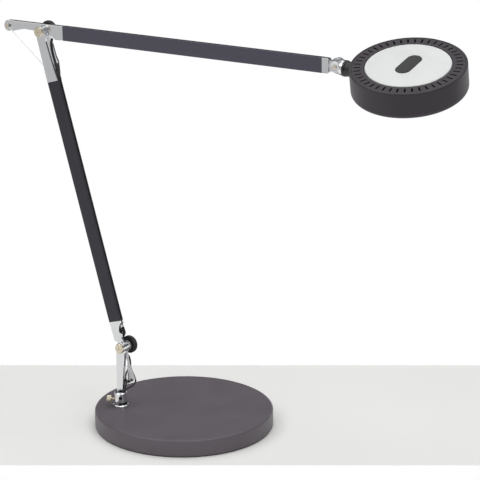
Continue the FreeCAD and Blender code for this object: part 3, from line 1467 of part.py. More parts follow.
# Two wires leave the sleeve and run into the collar: one beside the post, one round the fin's tip.
CABLE_END = size("spindle_top") + 0.9 - size("pivot_height")
cable("post_cables", [
    [
        SLEEVE_END + VECTOR(-1.0, 0, -0.35),
        VECTOR(2.8, 5.9, -30.5),
        VECTOR(2.6, 1.5, -35.5),
        VECTOR(2.8, 0.9, -41),
        VECTOR(4.1, 0.75, -46.4),
        VECTOR(3.9, -3.3, -54.0),
        VECTOR(3.5, -3.9, -57.4),
        VECTOR(0.98, -6.0, -59.2),
        VECTOR(0.98, -6.0, CABLE_END + 0.1),
    ],
    [
        SLEEVE_END + VECTOR(1.0, 0, -0.35),
        VECTOR(7.0, 7.7, -31),
        VECTOR(11.2, 7.3, -37.5),
        VECTOR(14.8, 6.6, -43.2),
        VECTOR(13.4, 1.6, -48.4),
        VECTOR(6.2, -2.4, -52.6),
        VECTOR(2.6, -5.6, -56.9),
        VECTOR(-0.98, -6.0, -58.9),
        VECTOR(-0.98, -6.0, CABLE_END + 0.1),
    ],
], wire_radius, POST_FRAME)

# Sleeve past the elbow hinge: out of the lever, down between the fork cheeks, to the arm's cable.
elbow_level = size("upper_plane")
cable("upper_sleeve", [[
    VECTOR(11.9, elbow_level, -8.6),
    VECTOR(10.4, elbow_level, -12.8),
    VECTOR(10.6, elbow_level + 0.2, -19),
    VECTOR(13.4, elbow_level - 0.6, -28),
    leaned(6.2, elbow_level - 1.6, -40),
    leaned(slot_x + 0.2, 1.1, -49.6),
]], size("elbow_sleeve_radius"), (ELBOW_X, "arm_plane", ELBOW_Z, "0", "0", "0"))

upper_start, upper_stop = size("upper_start"), sheet_value(UPPER_STOP)
cable("upper_cable", [[
    VECTOR(upper_start - 10, elbow_level, slot_x),
    VECTOR(upper_stop + 5, elbow_level, slot_x),
]], wire_radius, UPPER_FRAME)

doc.recompute()
failed = [item.Name for item in doc.Objects if {"Invalid", "Error"} & set(item.State)]
for item in EXPORT:
    if item.Shape.isNull() or not item.Shape.isValid():
        failed.append(item.Label)
if failed:
    raise RuntimeError(f"failed: {sorted(set(failed))}")

os.makedirs("parts", exist_ok=True)
for item in EXPORT:
    item.Shape.exportStep(f"parts/{item.Label}.step")
    print(f"{item.Label}: {item.Shape.Volume:.1f} mm3 in {len(item.Shape.Solids)} solid(s)")
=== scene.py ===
import json
import math

import bmesh
import bpy
import numpy as np
from mathutils import Matrix, Vector


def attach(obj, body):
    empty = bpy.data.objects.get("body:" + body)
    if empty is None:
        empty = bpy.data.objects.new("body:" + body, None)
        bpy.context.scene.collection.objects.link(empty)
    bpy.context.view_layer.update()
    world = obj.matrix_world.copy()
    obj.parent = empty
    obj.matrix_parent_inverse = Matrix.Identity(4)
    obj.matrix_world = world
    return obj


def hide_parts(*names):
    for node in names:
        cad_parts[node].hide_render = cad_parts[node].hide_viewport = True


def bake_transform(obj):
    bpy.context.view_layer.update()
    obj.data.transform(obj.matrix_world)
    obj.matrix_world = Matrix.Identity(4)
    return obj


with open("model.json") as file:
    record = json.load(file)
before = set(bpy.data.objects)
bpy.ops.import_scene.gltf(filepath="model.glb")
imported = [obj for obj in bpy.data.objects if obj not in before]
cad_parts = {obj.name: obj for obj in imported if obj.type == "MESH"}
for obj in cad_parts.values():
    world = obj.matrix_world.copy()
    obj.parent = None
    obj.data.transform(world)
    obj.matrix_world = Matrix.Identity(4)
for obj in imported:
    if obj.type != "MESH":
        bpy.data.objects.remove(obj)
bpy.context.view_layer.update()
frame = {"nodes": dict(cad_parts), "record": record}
nodes = frame["nodes"]
MM = 0.001

# ---------------------------------------------------------------- the part's own sizes, in mm
LEAN = math.radians(16.7)
RISE = math.radians(1.0)
TILT = math.radians(3.7)
TWIST = math.radians(16.2)
LOWER_LENGTH = 398.0
UPPER_LENGTH = 413.3
SWIVEL = Vector((-66.4, -41.4, 0.0))
POST = Vector((-66.4, -35.4, 97.5))
ELBOW = POST + LOWER_LENGTH * Vector((-math.sin(LEAN), 0, math.cos(LEAN)))
TILT_HINGE = ELBOW + Vector((UPPER_LENGTH * math.cos(RISE), 4.45, UPPER_LENGTH * math.sin(RISE)))
NECK_REACH = 92.6
TAIL = Vector((-233.593, -35.7, 479.592))
GUIDE_DROP = 55.0
LOWER_STOP = 336.4
UPPER_START = 30.9
UPPER_STOP = 395.4
SLOT_CENTRE = 7.5
ELBOW_LEVEL = 4.45
THUMB_LEVEL = 30.8
THUMB_TURN = math.radians(204.2)
PEEP_LEVEL = 35.0
PEEP_TURN = math.radians(34)
PEEP_DEPTH = 6.85
WINDOW_TURN = math.radians(66)
LOWER_KNOB_LEVEL = 10.8
UPPER_KNOB_LEVEL = 11.2
FIN_FACE = 2.7
FIN_SCREWS = ((6.0, -44.8), (10.2, -42.1))
TILT_CAP_LEVEL = -5.15
BUTTON_HALF_WIDTH = 8.5
BUTTON_STRAIGHT = 12
BUTTON_OFFSET = 1
WIRE = 0.95
LOWER_SLEEVE = 2.15
UPPER_SLEEVE = 1.7
STRAND = 0.36
SPRING_FOOT = LOWER_STOP - 220
SPRING_TOP = LOWER_STOP - 70


def about(origin, pitch=0.0, roll=0.0, yaw=0.0):
    """From a piece's own frame, in mm, to the row frame, in metres."""
    turn = (
        Matrix.Rotation(yaw, 4, "Z")
        @ Matrix.Rotation(pitch, 4, "Y")
        @ Matrix.Rotation(roll, 4, "X")
    )
    return Matrix.Scale(MM, 4) @ Matrix.Translation(origin) @ turn


POST_FRAME = about(POST)
LOWER_FRAME = about(POST, -LEAN)
ELBOW_FRAME = about(ELBOW, -LEAN)
UPRIGHT_ELBOW = about(ELBOW)
UPPER_FRAME = about(ELBOW, -RISE)
NECK_FRAME = about(TILT_HINGE, TILT)
THUMB_FRAME = about(SWIVEL + Vector((0, 0, THUMB_LEVEL)), yaw=THUMB_TURN)
GUIDE = ELBOW + GUIDE_DROP * Vector((math.sin(LEAN), 0, -math.cos(LEAN)))
WIRE_FRAME = about(TAIL, math.atan2(TAIL.z - GUIDE.z, GUIDE.x - TAIL.x))
WIRE_LENGTH = math.hypot(TAIL.z - GUIDE.z, GUIDE.x - TAIL.x)
DRUM = TILT_HINGE + NECK_REACH * Vector((math.cos(TILT), 0, -math.sin(TILT)))
DRUM_FRAME = about(DRUM, TILT, TWIST)


# ---------------------------------------------------------------- camera
camera = bpy.data.objects.new("camera", bpy.data.cameras.new("camera"))
camera.data.sensor_width = 36
camera.data.lens = 165
camera.data.clip_start = 0.05
camera.location = (1.4686, -2.0697, 1.0179)
camera.rotation_euler = (math.radians(72.9), 0, math.radians(33.8))
bpy.context.scene.collection.objects.link(camera)
bpy.context.scene.camera = camera


# ---------------------------------------------------------------- materials
def node_of(tree, kind, **settings):
    made = tree.nodes.new(kind)
    for key, value in settings.items():
        if key in made.inputs:
            made.inputs[key].default_value = value
        else:
            setattr(made, key, value)
    return made


def mapped(tree, pitch, stretch):
    """Object coordinates, turned about Y to lie along a piece and squeezed along its length."""
    place = node_of(tree, "ShaderNodeTexCoord")
    turned = node_of(tree, "ShaderNodeMapping")
    turned.inputs["Rotation"].default_value = (0, pitch, 0)
    tree.links.new(place.outputs["Object"], turned.inputs["Vector"])
    scaled = node_of(tree, "ShaderNodeMapping")
    scaled.inputs["Scale"].default_value = stretch
    tree.links.new(turned.outputs["Vector"], scaled.inputs["Vector"])
    return scaled.outputs["Vector"]


def noise(tree, vector, size, detail=3.0):
    """Noise whose features are about size metres across."""
    made = node_of(tree, "ShaderNodeTexNoise", Detail=detail, Scale=1 / size)
    tree.links.new(vector, made.inputs["Vector"])
    return made.outputs["Fac"]


def carried(tree, value, start, stop, low=0.0, high=1.0):
    """A value carried from start..stop to low..high."""
    made = node_of(tree, "ShaderNodeMapRange")
    made.inputs["From Min"].default_value = start
    made.inputs["From Max"].default_value = stop
    made.inputs["To Min"].default_value = low
    made.inputs["To Max"].default_value = high
    tree.links.new(value, made.inputs["Value"])
    return made.outputs["Result"]


def spread(tree, value, low, high):
    """Noise, which keeps near its middle, spread over low..high."""
    return carried(tree, value, 0.3, 0.7, low, high)


def mixed_colour(tree, share, first, second):
    """Two colours mixed by a share; each is a socket or a fixed colour."""
    made = node_of(tree, "ShaderNodeMix", data_type="RGBA")
    tree.links.new(share, made.inputs[0])
    for socket, colour in ((made.inputs[6], first), (made.inputs[7], second)):
        if isinstance(colour, tuple):
            socket.default_value = (*colour, 1)
        else:
            tree.links.new(colour, socket)
    return made.outputs[2]


def surface(name, colour, metal=0.0, rough=0.4, vary=0.06, patch=0.03, swing=0.05,
            grain=0.0004, bump=0.00001, pitch=0.0, stretch=(1, 1, 1), **sockets):
    """A finish: colour and roughness drift over patches, and a fine grain lifts the surface."""
    made = bpy.data.materials.new(name)
    made.use_nodes = True
    tree = made.node_tree
    shader = tree.nodes["Principled BSDF"]
    shader.inputs["Metallic"].default_value = metal
    for key, value in sockets.items():
        shader.inputs[key.replace("_", " ")].default_value = value
    vector = mapped(tree, pitch, stretch)
    drift = noise(tree, vector, patch, 4.0)
    darker = tuple(c * (1 - vary) for c in colour)
    lighter = tuple(min(1, c * (1 + vary)) for c in colour)
    mixed = mixed_colour(tree, spread(tree, drift, 0, 1), darker, lighter)
    tree.links.new(mixed, shader.inputs["Base Color"])
    fine = noise(tree, vector, grain, 2.0)
    both = node_of(tree, "ShaderNodeMath", operation="ADD")
    tree.links.new(spread(tree, fine, -swing / 2, swing / 2), both.inputs[0])
    tree.links.new(spread(tree, drift, rough - swing / 2, rough + swing / 2), both.inputs[1])
    tree.links.new(both.outputs[0], shader.inputs["Roughness"])
    lift = node_of(tree, "ShaderNodeBump", Strength=1.0, Distance=bump)
    tree.links.new(fine, lift.inputs["Height"])
    tree.links.new(lift.outputs["Normal"], shader.inputs["Normal"])
    return made


LOOKS = {
    "base_paint": surface(
        "base_paint", (0.108, 0.094, 0.11), rough=0.42, grain=0.0007, bump=0.00002),
    "head_paint": surface(
        "head_paint", (0.026, 0.019, 0.028), rough=0.46, grain=0.0005, bump=0.00003),
    "arm_anodised": surface(
        "arm_anodised", (0.034, 0.031, 0.042), metal=0.35, rough=0.38, grain=0.0003,
        bump=0.000004, pitch=LEAN, stretch=(1, 1, 0.03)),
    # The upper arm: the same anodised finish as the lower arm, coloured lighter as painted light
    # where the top lamp falls on it
    "arm_upper_painted_light": surface(
        "arm_upper_painted_light", (0.085, 0.082, 0.112), metal=0.35, rough=0.38, grain=0.0003,
        bump=0.000004, pitch=RISE, stretch=(0.03, 1, 1)),
    "cast_iron": surface(
        "cast_iron", (0.17, 0.165, 0.16), metal=0.8, rough=0.55, grain=0.001, bump=0.0001),
    "foam": surface("foam", (0.025, 0.025, 0.026), rough=0.9, grain=0.0006, bump=0.0002),
    "zinc_steel": surface(
        "zinc_steel", (0.6, 0.6, 0.61), metal=1.0, rough=0.3, vary=0.08, grain=0.0003),
    "dark_steel": surface("dark_steel", (0.1, 0.1, 0.1), metal=1.0, rough=0.4, grain=0.0003),
    "black_plastic": surface(
        "black_plastic", (0.018, 0.018, 0.019), rough=0.38, grain=0.0003, bump=0.00001),
    "cable": surface("cable", (0.016, 0.016, 0.018), rough=0.45, grain=0.0004),
    "sleeve": surface("sleeve", (0.016, 0.016, 0.018), rough=0.5, grain=0.0003),
    "chrome": surface(
        "chrome", (0.8, 0.81, 0.83), metal=1.0, rough=0.09, vary=0.02, swing=0.03,
        grain=0.0005, bump=0.000001),
    "nickel": surface(
        "nickel", (0.74, 0.67, 0.53), metal=1.0, rough=0.28, grain=0.0003, bump=0.000003),
    "brass": surface("brass", (0.76, 0.57, 0.27), metal=1.0, rough=0.3, grain=0.0003),
    "spring_steel": surface(
        "spring_steel", (0.42, 0.42, 0.43), metal=1.0, rough=0.32, grain=0.0003),
    "wire": surface("wire", (0.92, 0.92, 0.92), metal=0.2, rough=0.4, grain=0.0003),
    "plate_aluminium": surface(
        "plate_aluminium", (0.72, 0.74, 0.73), metal=0.55, rough=0.5, vary=0.03,
        grain=0.0004, bump=0.00001),
    "raw_aluminium": surface(
        "raw_aluminium", (0.5, 0.5, 0.51), metal=0.9, rough=0.5, grain=0.001, bump=0.00004),
    "board": surface("board", (0.7, 0.71, 0.68), rough=0.45, grain=0.0006),
    "led": surface("led", (0.85, 0.66, 0.12), rough=0.35, grain=0.0005),
    "diffuser": surface(
        "diffuser", (0.82, 0.82, 0.8), rough=0.45, grain=0.0004, Transmission_Weight=0.25),
    "button_rubber": surface(
        "button_rubber", (0.018, 0.018, 0.019), rough=0.5, grain=0.0004, bump=0.00001),
    "blued_sink": surface(
        "blued_sink", (0.02, 0.02, 0.022), metal=0.6, rough=0.5, grain=0.001, bump=0.00004),
    "fin_steel": surface(
        "fin_steel", (0.82, 0.82, 0.83), metal=0.75, rough=0.42, vary=0.03,
        grain=0.0003, bump=0.000004),
}
# Nodes whose finish differs from that of their slot; the upper profile keeps the lower arm's
# anodised finish in a lighter colour, which is painted light
OWN_LOOK = {
    "upper_profile": "arm_upper_painted_light",
    "heat_sink": "blued_sink",
    "cable_fin": "fin_steel",
    "tilt_bolt": "fin_steel",
    "neck_pin": "head_paint",
}
for part in frame["record"]["subparts"]:
    name, slot = part["node"], part["material_slot"]
    look = LOOKS[OWN_LOOK.get(name, slot)]
    shown = nodes[name].data.materials
    shown.clear()
    shown.append(look)


# ---------------------------------------------------------------- pieces in mesh code
TO_Y = Matrix.Rotation(math.radians(-90), 4, "X")
TO_X = Matrix.Rotation(math.radians(90), 4, "Y")


def skinned(made, rings, capped=True):
    """Faces from each ring of points to the next, and one on either end."""
    for low, high in zip(rings, rings[1:]):
        for i in range(len(low)):
            j = (i + 1) % len(low)
            corners = list(dict.fromkeys((low[i], low[j], high[j], high[i])))
            if len(corners) > 2:
                made.faces.new(corners)
    if capped:
        made.faces.new(rings[0])
        made.faces.new(rings[-1])
    bmesh.ops.recalc_face_normals(made, faces=made.faces)
    return made


def lathe(profile, count, ripples=0, closed=False):
    """A turned solid about Z from (radius, height, ripple depth) points, grooved all round."""
    made = bmesh.new()
    rings = []
    for radius, height, depth in profile:
        if radius < 1e-6:
            rings.append([made.verts.new((0, 0, height))] * count)
            continue
        ring = []
        for i in range(count):
            turn = 2 * math.pi * i / count
            reach = radius - depth * (0.5 + 0.5 * math.cos(ripples * turn)) ** 2
            ring.append(made.verts.new((reach * math.cos(turn), reach * math.sin(turn), height)))
        rings.append(ring)
    if closed:
        rings.append(rings[0])
    return skinned(made, rings, capped=False)


def smooth_line(points):
    """The smooth line that a route's points control."""
    curve = bpy.data.curves.new("route", "CURVE")
    curve.dimensions = "3D"
    line = curve.splines.new("NURBS")
    line.points.add(len(points) - 1)
    for control, point in zip(line.points, points):
        control.co = (*point, 1)
    line.order_u = 3
    line.use_endpoint_u = True
    holder = bpy.data.objects.new("route", curve)
    mesh = bpy.data.meshes.new_from_object(holder)
    found = [tuple(vertex.co) for vertex in mesh.vertices]
    bpy.data.meshes.remove(mesh)
    bpy.data.objects.remove(holder)
    bpy.data.curves.remove(curve)
    return found


def sweep(made, line, reach, sides=14, step=0.5):
    """A closed tube along a line; reach gives its radius from the turn and the distance."""
    points = np.array([tuple(point) for point in line], float)
    gone = np.r_[0, np.cumsum(np.linalg.norm(np.diff(points, axis=0), axis=1))]
    at = np.linspace(0, gone[-1], max(2, round(gone[-1] / step)) + 1)
    points = np.column_stack([np.interp(at, gone, points[:, k]) for k in range(3)])
    side = np.array((0.3, 1.0, 0.2))
    rings = []
    for i, distance in enumerate(at):
        ahead = points[min(i + 1, len(at) - 1)] - points[max(i - 1, 0)]
        ahead /= np.linalg.norm(ahead)
        side = side - ahead * side.dot(ahead)
        side /= np.linalg.norm(side)
        up = np.cross(ahead, side)
        ring = []
        for k in range(sides):
            turn = 2 * math.pi * k / sides
            out = reach(turn, distance) * (math.cos(turn) * side + math.sin(turn) * up)
            ring.append(made.verts.new(points[i] + out))
        rings.append(ring)
    return skinned(made, rings)


def piece(name, made, place, look, body=None, stands_for=()):
    """A mesh from its own frame, put in the row frame, on a body."""
    bmesh.ops.transform(made, matrix=place, verts=made.verts)
    mesh = bpy.data.meshes.new(name)
    made.to_mesh(mesh)
    made.free()
    mesh.shade_smooth()
    mesh.set_sharp_from_angle(angle=math.radians(35))
    mesh.materials.append(LOOKS[look])
    item = bpy.data.objects.new(name, mesh)
    bpy.context.scene.collection.objects.link(item)
    if body:
        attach(item, body)
    if stands_for:
        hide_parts(*stands_for)
    return item


# Knobs: soft ribs, a rolled edge and a shallow dish in the far face
KNOB = [
    (4.23, 0, 0), (9.5, 0, 0), (10.2, 0.1, 0), (10.75, 0.45, 0.2), (11, 1.0, 0.42), (11, 2.4, 0.42),
    (11, 3.9, 0.42), (10.9, 4.5, 0.3), (10.5, 5.2, 0.1), (9.9, 5.85, 0), (9, 6.35, 0), (7.9, 6.6, 0),
    (6.9, 6.6, 0), (6.4, 6.4, 0), (5.6, 6.25, 0), (0, 6.2, 0), (0, 5.7, 0), (4.23, 5.7, 0),
]
for name, place, start in (
    ("lower_knob", POST_FRAME, LOWER_KNOB_LEVEL), ("upper_knob", ELBOW_FRAME, UPPER_KNOB_LEVEL)
):
    piece(
        f"{name}_ribbed", lathe(KNOB, 288, ripples=36, closed=True),
        place @ Matrix.Translation((0, start, 0)) @ TO_Y, "black_plastic", name, (name,))

# Thumbscrew: a threaded stem and a knurled head with a dished end
STEM_START = 5.05
THREAD = [(1.75 - 0.2 * (i % 2), STEM_START + 0.3 * i, 0) for i in range(21)]
THUMB_HEAD = [
    (2.6, 11.3, 0), (2.7, 11.7, 0), (4.0, 11.75, 0), (4.4, 12.1, 0.3), (4.4, 14.3, 0.3),
    (4.4, 16.7, 0.3), (4.0, 17.15, 0), (3.2, 17.2, 0), (2.6, 16.9, 0), (0, 16.8, 0),
]
piece(
    "thumbscrew_knurled",
    lathe([(0, STEM_START, 0), *THREAD, *THUMB_HEAD], 192, ripples=24),
    THUMB_FRAME @ TO_X, "nickel", "thumbscrew", ("thumbscrew",))

# Small heads: the fin's two screws, the cap on the tilt bolt, and a grub screw in black plastic set
# into the collar's peep hole, whose black paints the shade in the hole
PAN_HEAD = [
    (0, 0.5, 0), (0.85, 0.5, 0), (0.9, 0.05, 0), (1.55, 0, 0), (1.85, 0.25, 0), (1.9, 0.9, 0),
    (1.2, 0.9, 0), (1.2, 3.7, 0), (0, 3.7, 0),
]
TILT_CAP = [
    (0, 0.35, 0), (0.8, 0.35, 0), (0.9, 0.05, 0), (1.7, 0, 0), (2.15, 0.2, 0), (2.2, 0.75, 0),
    (0, 0.75, 0),
]
SHADE_GRUB_SCREW = [
    (0, 0.9, 0), (1.05, 0.9, 0), (1.1, 0, 0), (1.9, 0, 0), (2.25, 0.3, 0), (2.25, 1.7, 0),
    (0, 1.7, 0),
]
fin_heads = bmesh.new()
for x, z in FIN_SCREWS:
    head = lathe(PAN_HEAD, 32)
    bmesh.ops.transform(
        head, matrix=Matrix.Translation((x, FIN_FACE, z)) @ TO_Y, verts=head.verts)
    loose = bpy.data.meshes.new("loose")
    head.to_mesh(loose)
    head.free()
    fin_heads.from_mesh(loose)
    bpy.data.meshes.remove(loose)
piece("fin_screw_heads", fin_heads, POST_FRAME, "dark_steel", "post", ("fin_screws",))
piece(
    "tilt_cap", lathe(TILT_CAP, 48),
    NECK_FRAME @ Matrix.Translation((0, TILT_CAP_LEVEL, 0)) @ TO_Y, "nickel", "neck")
# The grub screw in the peep hole is black plastic: a dark piece that paints the hole's shade
piece(
    "collar_grub_screw_painted_shade", lathe(SHADE_GRUB_SCREW, 36),
    about(SWIVEL + Vector((0, 0, PEEP_LEVEL)), yaw=PEEP_TURN)
    @ Matrix.Translation((0, -PEEP_DEPTH, 0)) @ TO_Y, "black_plastic", "post")

# A black arc behind the collar's window, shaped like a turning stop: a dark piece that paints the
# shade seen through the window
WINDOW_SHADE_SECTION = ((5.12, 25.4), (7.1, 25.4), (7.3, 25.7), (7.3, 28.5), (7.1, 28.8), (5.12, 28.8))
WINDOW_SHADE_REACH = 42
WINDOW_SHADE_STEPS = 16
stop = bmesh.new()
columns = []
for i in range(WINDOW_SHADE_STEPS + 1):
    turn = WINDOW_TURN + math.radians(-WINDOW_SHADE_REACH + 2 * WINDOW_SHADE_REACH * i / WINDOW_SHADE_STEPS)
    out = Vector((math.sin(turn), -math.cos(turn), 0))
    columns.append([
        stop.verts.new(out * radius + Vector((0, 0, level))) for radius, level in WINDOW_SHADE_SECTION
    ])
piece("collar_window_painted_shade", skinned(stop, columns), about(SWIVEL), "black_plastic", "post")


# Power button: a round-ended pad with a rolled edge and a slight dish
def round_ended(grow, level, steps=24):
    """A ring of points round the button's outline, grown by a margin."""
    half = BUTTON_HALF_WIDTH + grow
    ring = []
    for i in range(2 * steps):
        turn = math.pi * (i if i < steps else i - 1) / (steps - 1)
        middle = BUTTON_OFFSET + (BUTTON_STRAIGHT if i < steps else -BUTTON_STRAIGHT)
        ring.append((half * math.cos(turn), middle + half * math.sin(turn), level))
    return ring


BUTTON_SIDE = (
    (1.5, 16.8), (1.5, 18.3), (0, 18.3), (0, 21.8), (-0.12, 22.12), (-0.4, 22.32),
    (-0.9, 22.4), (-2.2, 22.34), (-4.2, 22.24), (-6.4, 22.2), (-8.3, 22.18),
)
button = bmesh.new()
button_rings = [
    [button.verts.new(point) for point in round_ended(grow, level)] for grow, level in BUTTON_SIDE
]
piece(
    "power_button", skinned(button, button_rings), DRUM_FRAME, "button_rubber", "head_button",
    ("head_button",))


# ---------------------------------------------------------------- cables, sleeves, wire and spring
def leaned(across, level, along):
    """A point given across and along the lower arm, in its hinge's upright frame."""
    return (
        across * math.cos(LEAN) - along * math.sin(LEAN),
        level,
        across * math.sin(LEAN) + along * math.cos(LEAN),
    )


def plain(radius):
    """A smooth cable's radius."""
    return lambda turn, distance: radius


def corrugated(radius, pitch=1.3, depth=0.16):
    """A ribbed sleeve's radius along its length."""
    return lambda turn, distance: radius - depth * (
        0.5 - 0.5 * math.cos(2 * math.pi * distance / pitch))


def stranded(radius, strands=6, lay=5.0):
    """A twisted rope's radius: one lobe for each strand, turning along it."""
    return lambda turn, distance: radius * (
        0.87 + 0.13 * abs(math.cos(strands / 2 * (turn + 2 * math.pi * distance / lay / strands))))


post_wires = bmesh.new()
for route in (
    [(3.0, 8, -26.3), (2.8, 5.9, -30.5), (2.6, 1.5, -35.5), (2.8, 0.9, -41), (4.1, 0.75, -46.4),
     (3.9, -3.3, -54.0), (3.5, -3.9, -57.4), (0.98, -6.0, -59.2), (0.98, -6.0, -60.5)],
    [(5.0, 8, -26.3), (7.0, 7.7, -31), (11.2, 7.3, -37.5), (14.8, 6.6, -43.2), (13.4, 1.6, -48.4),
     (6.2, -2.4, -52.6), (2.6, -5.6, -56.9), (-0.98, -6.0, -58.9), (-0.98, -6.0, -60.5)],
):
    sweep(post_wires, smooth_line(route), plain(WIRE))
piece("post_wires", post_wires, POST_FRAME, "cable", "post", ("post_cables",))

sleeve = piece(
    "lower_hinge_sleeve",
    sweep(bmesh.new(), smooth_line([
        (0, 0.3, 25.2), (0.4, 2.0, 20.5), (-2.4, 6.6, 15.8), (-6.0, 7.6, 11.0), (-9.6, 8.1, 4.6),
        (-9.0, 8.2, -5.8), (-1.4, 8.3, -11.8), (3.8, 8.3, -16.2), (4.0, 8.0, -26.0),
    ]), corrugated(LOWER_SLEEVE), sides=20, step=0.2),
    POST_FRAME, "sleeve", stands_for=("lower_sleeve",))
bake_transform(sleeve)
piece(
    "sleeve_ferrule",
    sweep(bmesh.new(), [(7.42, 0.1, 25.6), (7.48, 0.05, 28.4)], plain(1.85), sides=28, step=0.7),
    LOWER_FRAME, "chrome", "lower_arm")

sleeve = piece(
    "elbow_sleeve",
    sweep(bmesh.new(), smooth_line([
        (11.9, ELBOW_LEVEL, -8.6), (10.4, ELBOW_LEVEL, -12.8), (10.6, ELBOW_LEVEL + 0.2, -19),
        (13.4, ELBOW_LEVEL - 0.6, -28), leaned(6.2, ELBOW_LEVEL - 1.6, -40), leaned(7.7, 1.1, -49.6),
    ]), corrugated(UPPER_SLEEVE, pitch=1.1, depth=0.12), sides=20, step=0.2),
    UPRIGHT_ELBOW, "sleeve", stands_for=("upper_sleeve",))
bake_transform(sleeve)

piece(
    "lower_arm_cable",
    sweep(bmesh.new(), smooth_line([
        (7.3, 0.25, 24.2), (SLOT_CENTRE, 0, 30.6), (SLOT_CENTRE, 0, LOWER_STOP - 6),
        (SLOT_CENTRE, -0.45, LOWER_STOP + 2.5), (SLOT_CENTRE + 0.2, 1.0, LOWER_LENGTH - 50),
    ]), plain(WIRE), step=2),
    LOWER_FRAME, "cable", "lower_arm", ("lower_cable",))
piece(
    "upper_arm_cable",
    sweep(bmesh.new(), [
        (UPPER_START - 10, ELBOW_LEVEL, SLOT_CENTRE), (UPPER_STOP + 5, ELBOW_LEVEL, SLOT_CENTRE)
    ], plain(WIRE), step=4),
    UPPER_FRAME, "cable", "upper_arm", ("upper_cable",))

wire = piece(
    "stranded_wire",
    sweep(bmesh.new(), [(6.0, 0, 0), (WIRE_LENGTH, 0, 0)], stranded(STRAND), sides=24, step=0.4),
    WIRE_FRAME, "wire", stands_for=("balance_wire", "wire_tip"))
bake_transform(wire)

TURNS = 96
PER_TURN = 14
COIL_RADIUS = 1.5
END_GAP = 0.4
coil = [
    (COIL_RADIUS * math.cos(math.tau * i / PER_TURN),
     COIL_RADIUS * math.sin(math.tau * i / PER_TURN) - 0.3,
     SPRING_FOOT + END_GAP + (SPRING_TOP - SPRING_FOOT - 2 * END_GAP) * i / (PER_TURN * TURNS))
    for i in range(PER_TURN * TURNS + 1)
]
spring = piece(
    "coiled_spring", sweep(bmesh.new(), coil, plain(0.35), sides=6, step=0.8),
    LOWER_FRAME, "spring_steel", stands_for=("balance_spring",))
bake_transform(spring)


# ---------------------------------------------------------------- stage and light
VIEW_TURN = Matrix.Rotation(math.radians(33.8), 4, "Z")
TABLE_FRONT = -0.133
TABLE_BACK = 0.206
TABLE_HALF = 1.6
APRON_FRONT = -0.9
APRON_LEVEL = -0.02


def panel(name, near, far, level, look):
    """A flat strip of the stage, square to the camera."""
    corners = [
        VIEW_TURN @ Vector(corner) for corner in (
            (-TABLE_HALF, near, level), (TABLE_HALF, near, level),
            (TABLE_HALF, far, level), (-TABLE_HALF, far, level))
    ]
    mesh = bpy.data.meshes.new(name)
    mesh.from_pydata(corners, [], [(0, 1, 2, 3)])
    mesh.materials.append(look)
    made = bpy.data.objects.new(name, mesh)
    bpy.context.scene.collection.objects.link(made)


def share_of(tree, *kinds):
    """1 for the kinds of ray named, and 0 for the light that falls on things."""
    path = node_of(tree, "ShaderNodeLightPath")
    share = path.outputs[kinds[0]]
    for kind in kinds[1:]:
        both = node_of(tree, "ShaderNodeMath", operation="MAXIMUM")
        tree.links.new(share, both.inputs[0])
        tree.links.new(path.outputs[kind], both.inputs[1])
        share = both.outputs[0]
    return share


def along(tree, vector, way):
    """How far a direction points along a way."""
    made = node_of(tree, "ShaderNodeVectorMath", operation="DOT_PRODUCT")
    made.inputs[1].default_value = way
    tree.links.new(vector, made.inputs[0])
    return made.outputs["Value"]


def grey_ramp(tree, value, stops):
    """A grey for each height, from (position, level) stops."""
    made = node_of(tree, "ShaderNodeValToRGB")
    tree.links.new(value, made.inputs[0])
    elements = made.color_ramp.elements
    for position, level in stops[1:-1]:
        elements.new(position)
    for element, (position, level) in zip(elements, stops):
        element.position = position
        element.color = (level, level, level, 1)
    return made.outputs[0]


table_look = surface("table_top", (0.9, 0.9, 0.88), rough=0.6, vary=0.01, patch=0.2, grain=0.002)
panel("table_top", TABLE_FRONT, TABLE_BACK, 0, table_look)

# The floor in front of the table lies a little lower, and the camera and mirrors see it white
apron_look = surface("apron", (0.85, 0.85, 0.85), rough=0.8, vary=0.01, patch=0.2, grain=0.002)
tree = apron_look.node_tree
glow = node_of(tree, "ShaderNodeEmission", Color=(1, 1, 1, 1), Strength=1.0)
either = node_of(tree, "ShaderNodeMixShader")
seen = share_of(tree, "Is Camera Ray", "Is Glossy Ray", "Is Transmission Ray")
tree.links.new(seen, either.inputs[0])
tree.links.new(tree.nodes["Principled BSDF"].outputs[0], either.inputs[1])
tree.links.new(glow.outputs[0], either.inputs[2])
tree.links.new(either.outputs[0], tree.nodes["Material Output"].inputs["Surface"])
panel("apron", APRON_FRONT, TABLE_FRONT, APRON_LEVEL, apron_look)

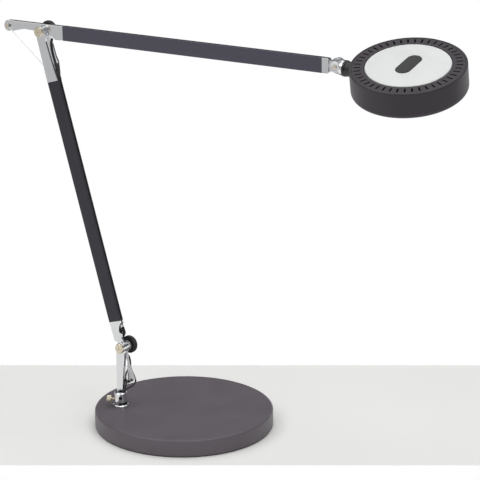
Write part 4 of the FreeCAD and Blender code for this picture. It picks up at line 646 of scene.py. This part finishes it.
# The room: white behind the lamp, grey behind the camera, a dark band above, a bright ceiling
WHITE = (1, 1, 1)
FLAG_BLACK = (0.03, 0.03, 0.03)
BEHIND_LAMP = (
    (0.0, 0.8), (0.3, 0.95), (0.53, 1.0), (0.56, 0.85), (0.6, 0.05), (0.76, 0.08),
    (0.85, 0.85), (1.0, 1.0),
)
BEHIND_CAMERA = (
    (0.0, 0.42), (0.35, 0.52), (0.5, 0.62), (0.62, 0.3), (0.76, 0.35), (0.86, 0.85), (1.0, 1.0),
)
world = bpy.data.worlds.new("studio")
bpy.context.scene.world = world
world.use_nodes = True
tree = world.node_tree
direction = node_of(tree, "ShaderNodeTexCoord").outputs["Generated"]
split = node_of(tree, "ShaderNodeSeparateXYZ")
tree.links.new(direction, split.inputs[0])
height = carried(tree, split.outputs["Z"], -1, 1)
ahead = along(tree, direction, VIEW_TURN @ Vector((0, 1, 0)))
rightward = along(tree, direction, VIEW_TURN @ Vector((1, 0, 0)))
room = mixed_colour(
    tree, carried(tree, ahead, -0.15, 0.3),
    grey_ramp(tree, height, BEHIND_CAMERA), grey_ramp(tree, height, BEHIND_LAMP))
# A black flag stands to the right of the camera and a little in front of the lamp
flag = node_of(tree, "ShaderNodeMath", operation="MULTIPLY")
tree.links.new(carried(tree, rightward, 0.55, 0.75), flag.inputs[0])
tree.links.new(carried(tree, ahead, 0.2, 0.0), flag.inputs[1])
flagged = mixed_colour(tree, flag.outputs[0], room, FLAG_BLACK)
seen = share_of(tree, "Is Camera Ray", "Is Transmission Ray")
shown = mixed_colour(tree, seen, flagged, WHITE)
tree.links.new(shown, tree.nodes["Background"].inputs["Color"])


def lamp(name, place, target, side, power):
    """A soft rectangular light that faces a point."""
    light = bpy.data.lights.new(name, "AREA")
    light.shape = "RECTANGLE"
    light.size, light.size_y = side
    light.energy = power
    made = bpy.data.objects.new(name, light)
    made.location = place
    made.rotation_euler = (Vector(target) - Vector(place)).to_track_quat("-Z", "Y").to_euler()
    bpy.context.scene.collection.objects.link(made)


lamp("key", (-0.9, -1.6, 2.2), (0, 0, 0.2), (1.4, 1.4), 8)
lamp("top", (0.3, 0.2, 2.4), (0, 0, 0.2), (1.6, 1.6), 14)
lamp("fill", (1.8, -0.6, 1.1), (0, 0, 0.3), (1.2, 1.6), 5)

bpy.context.scene.view_settings.view_transform = "Standard"
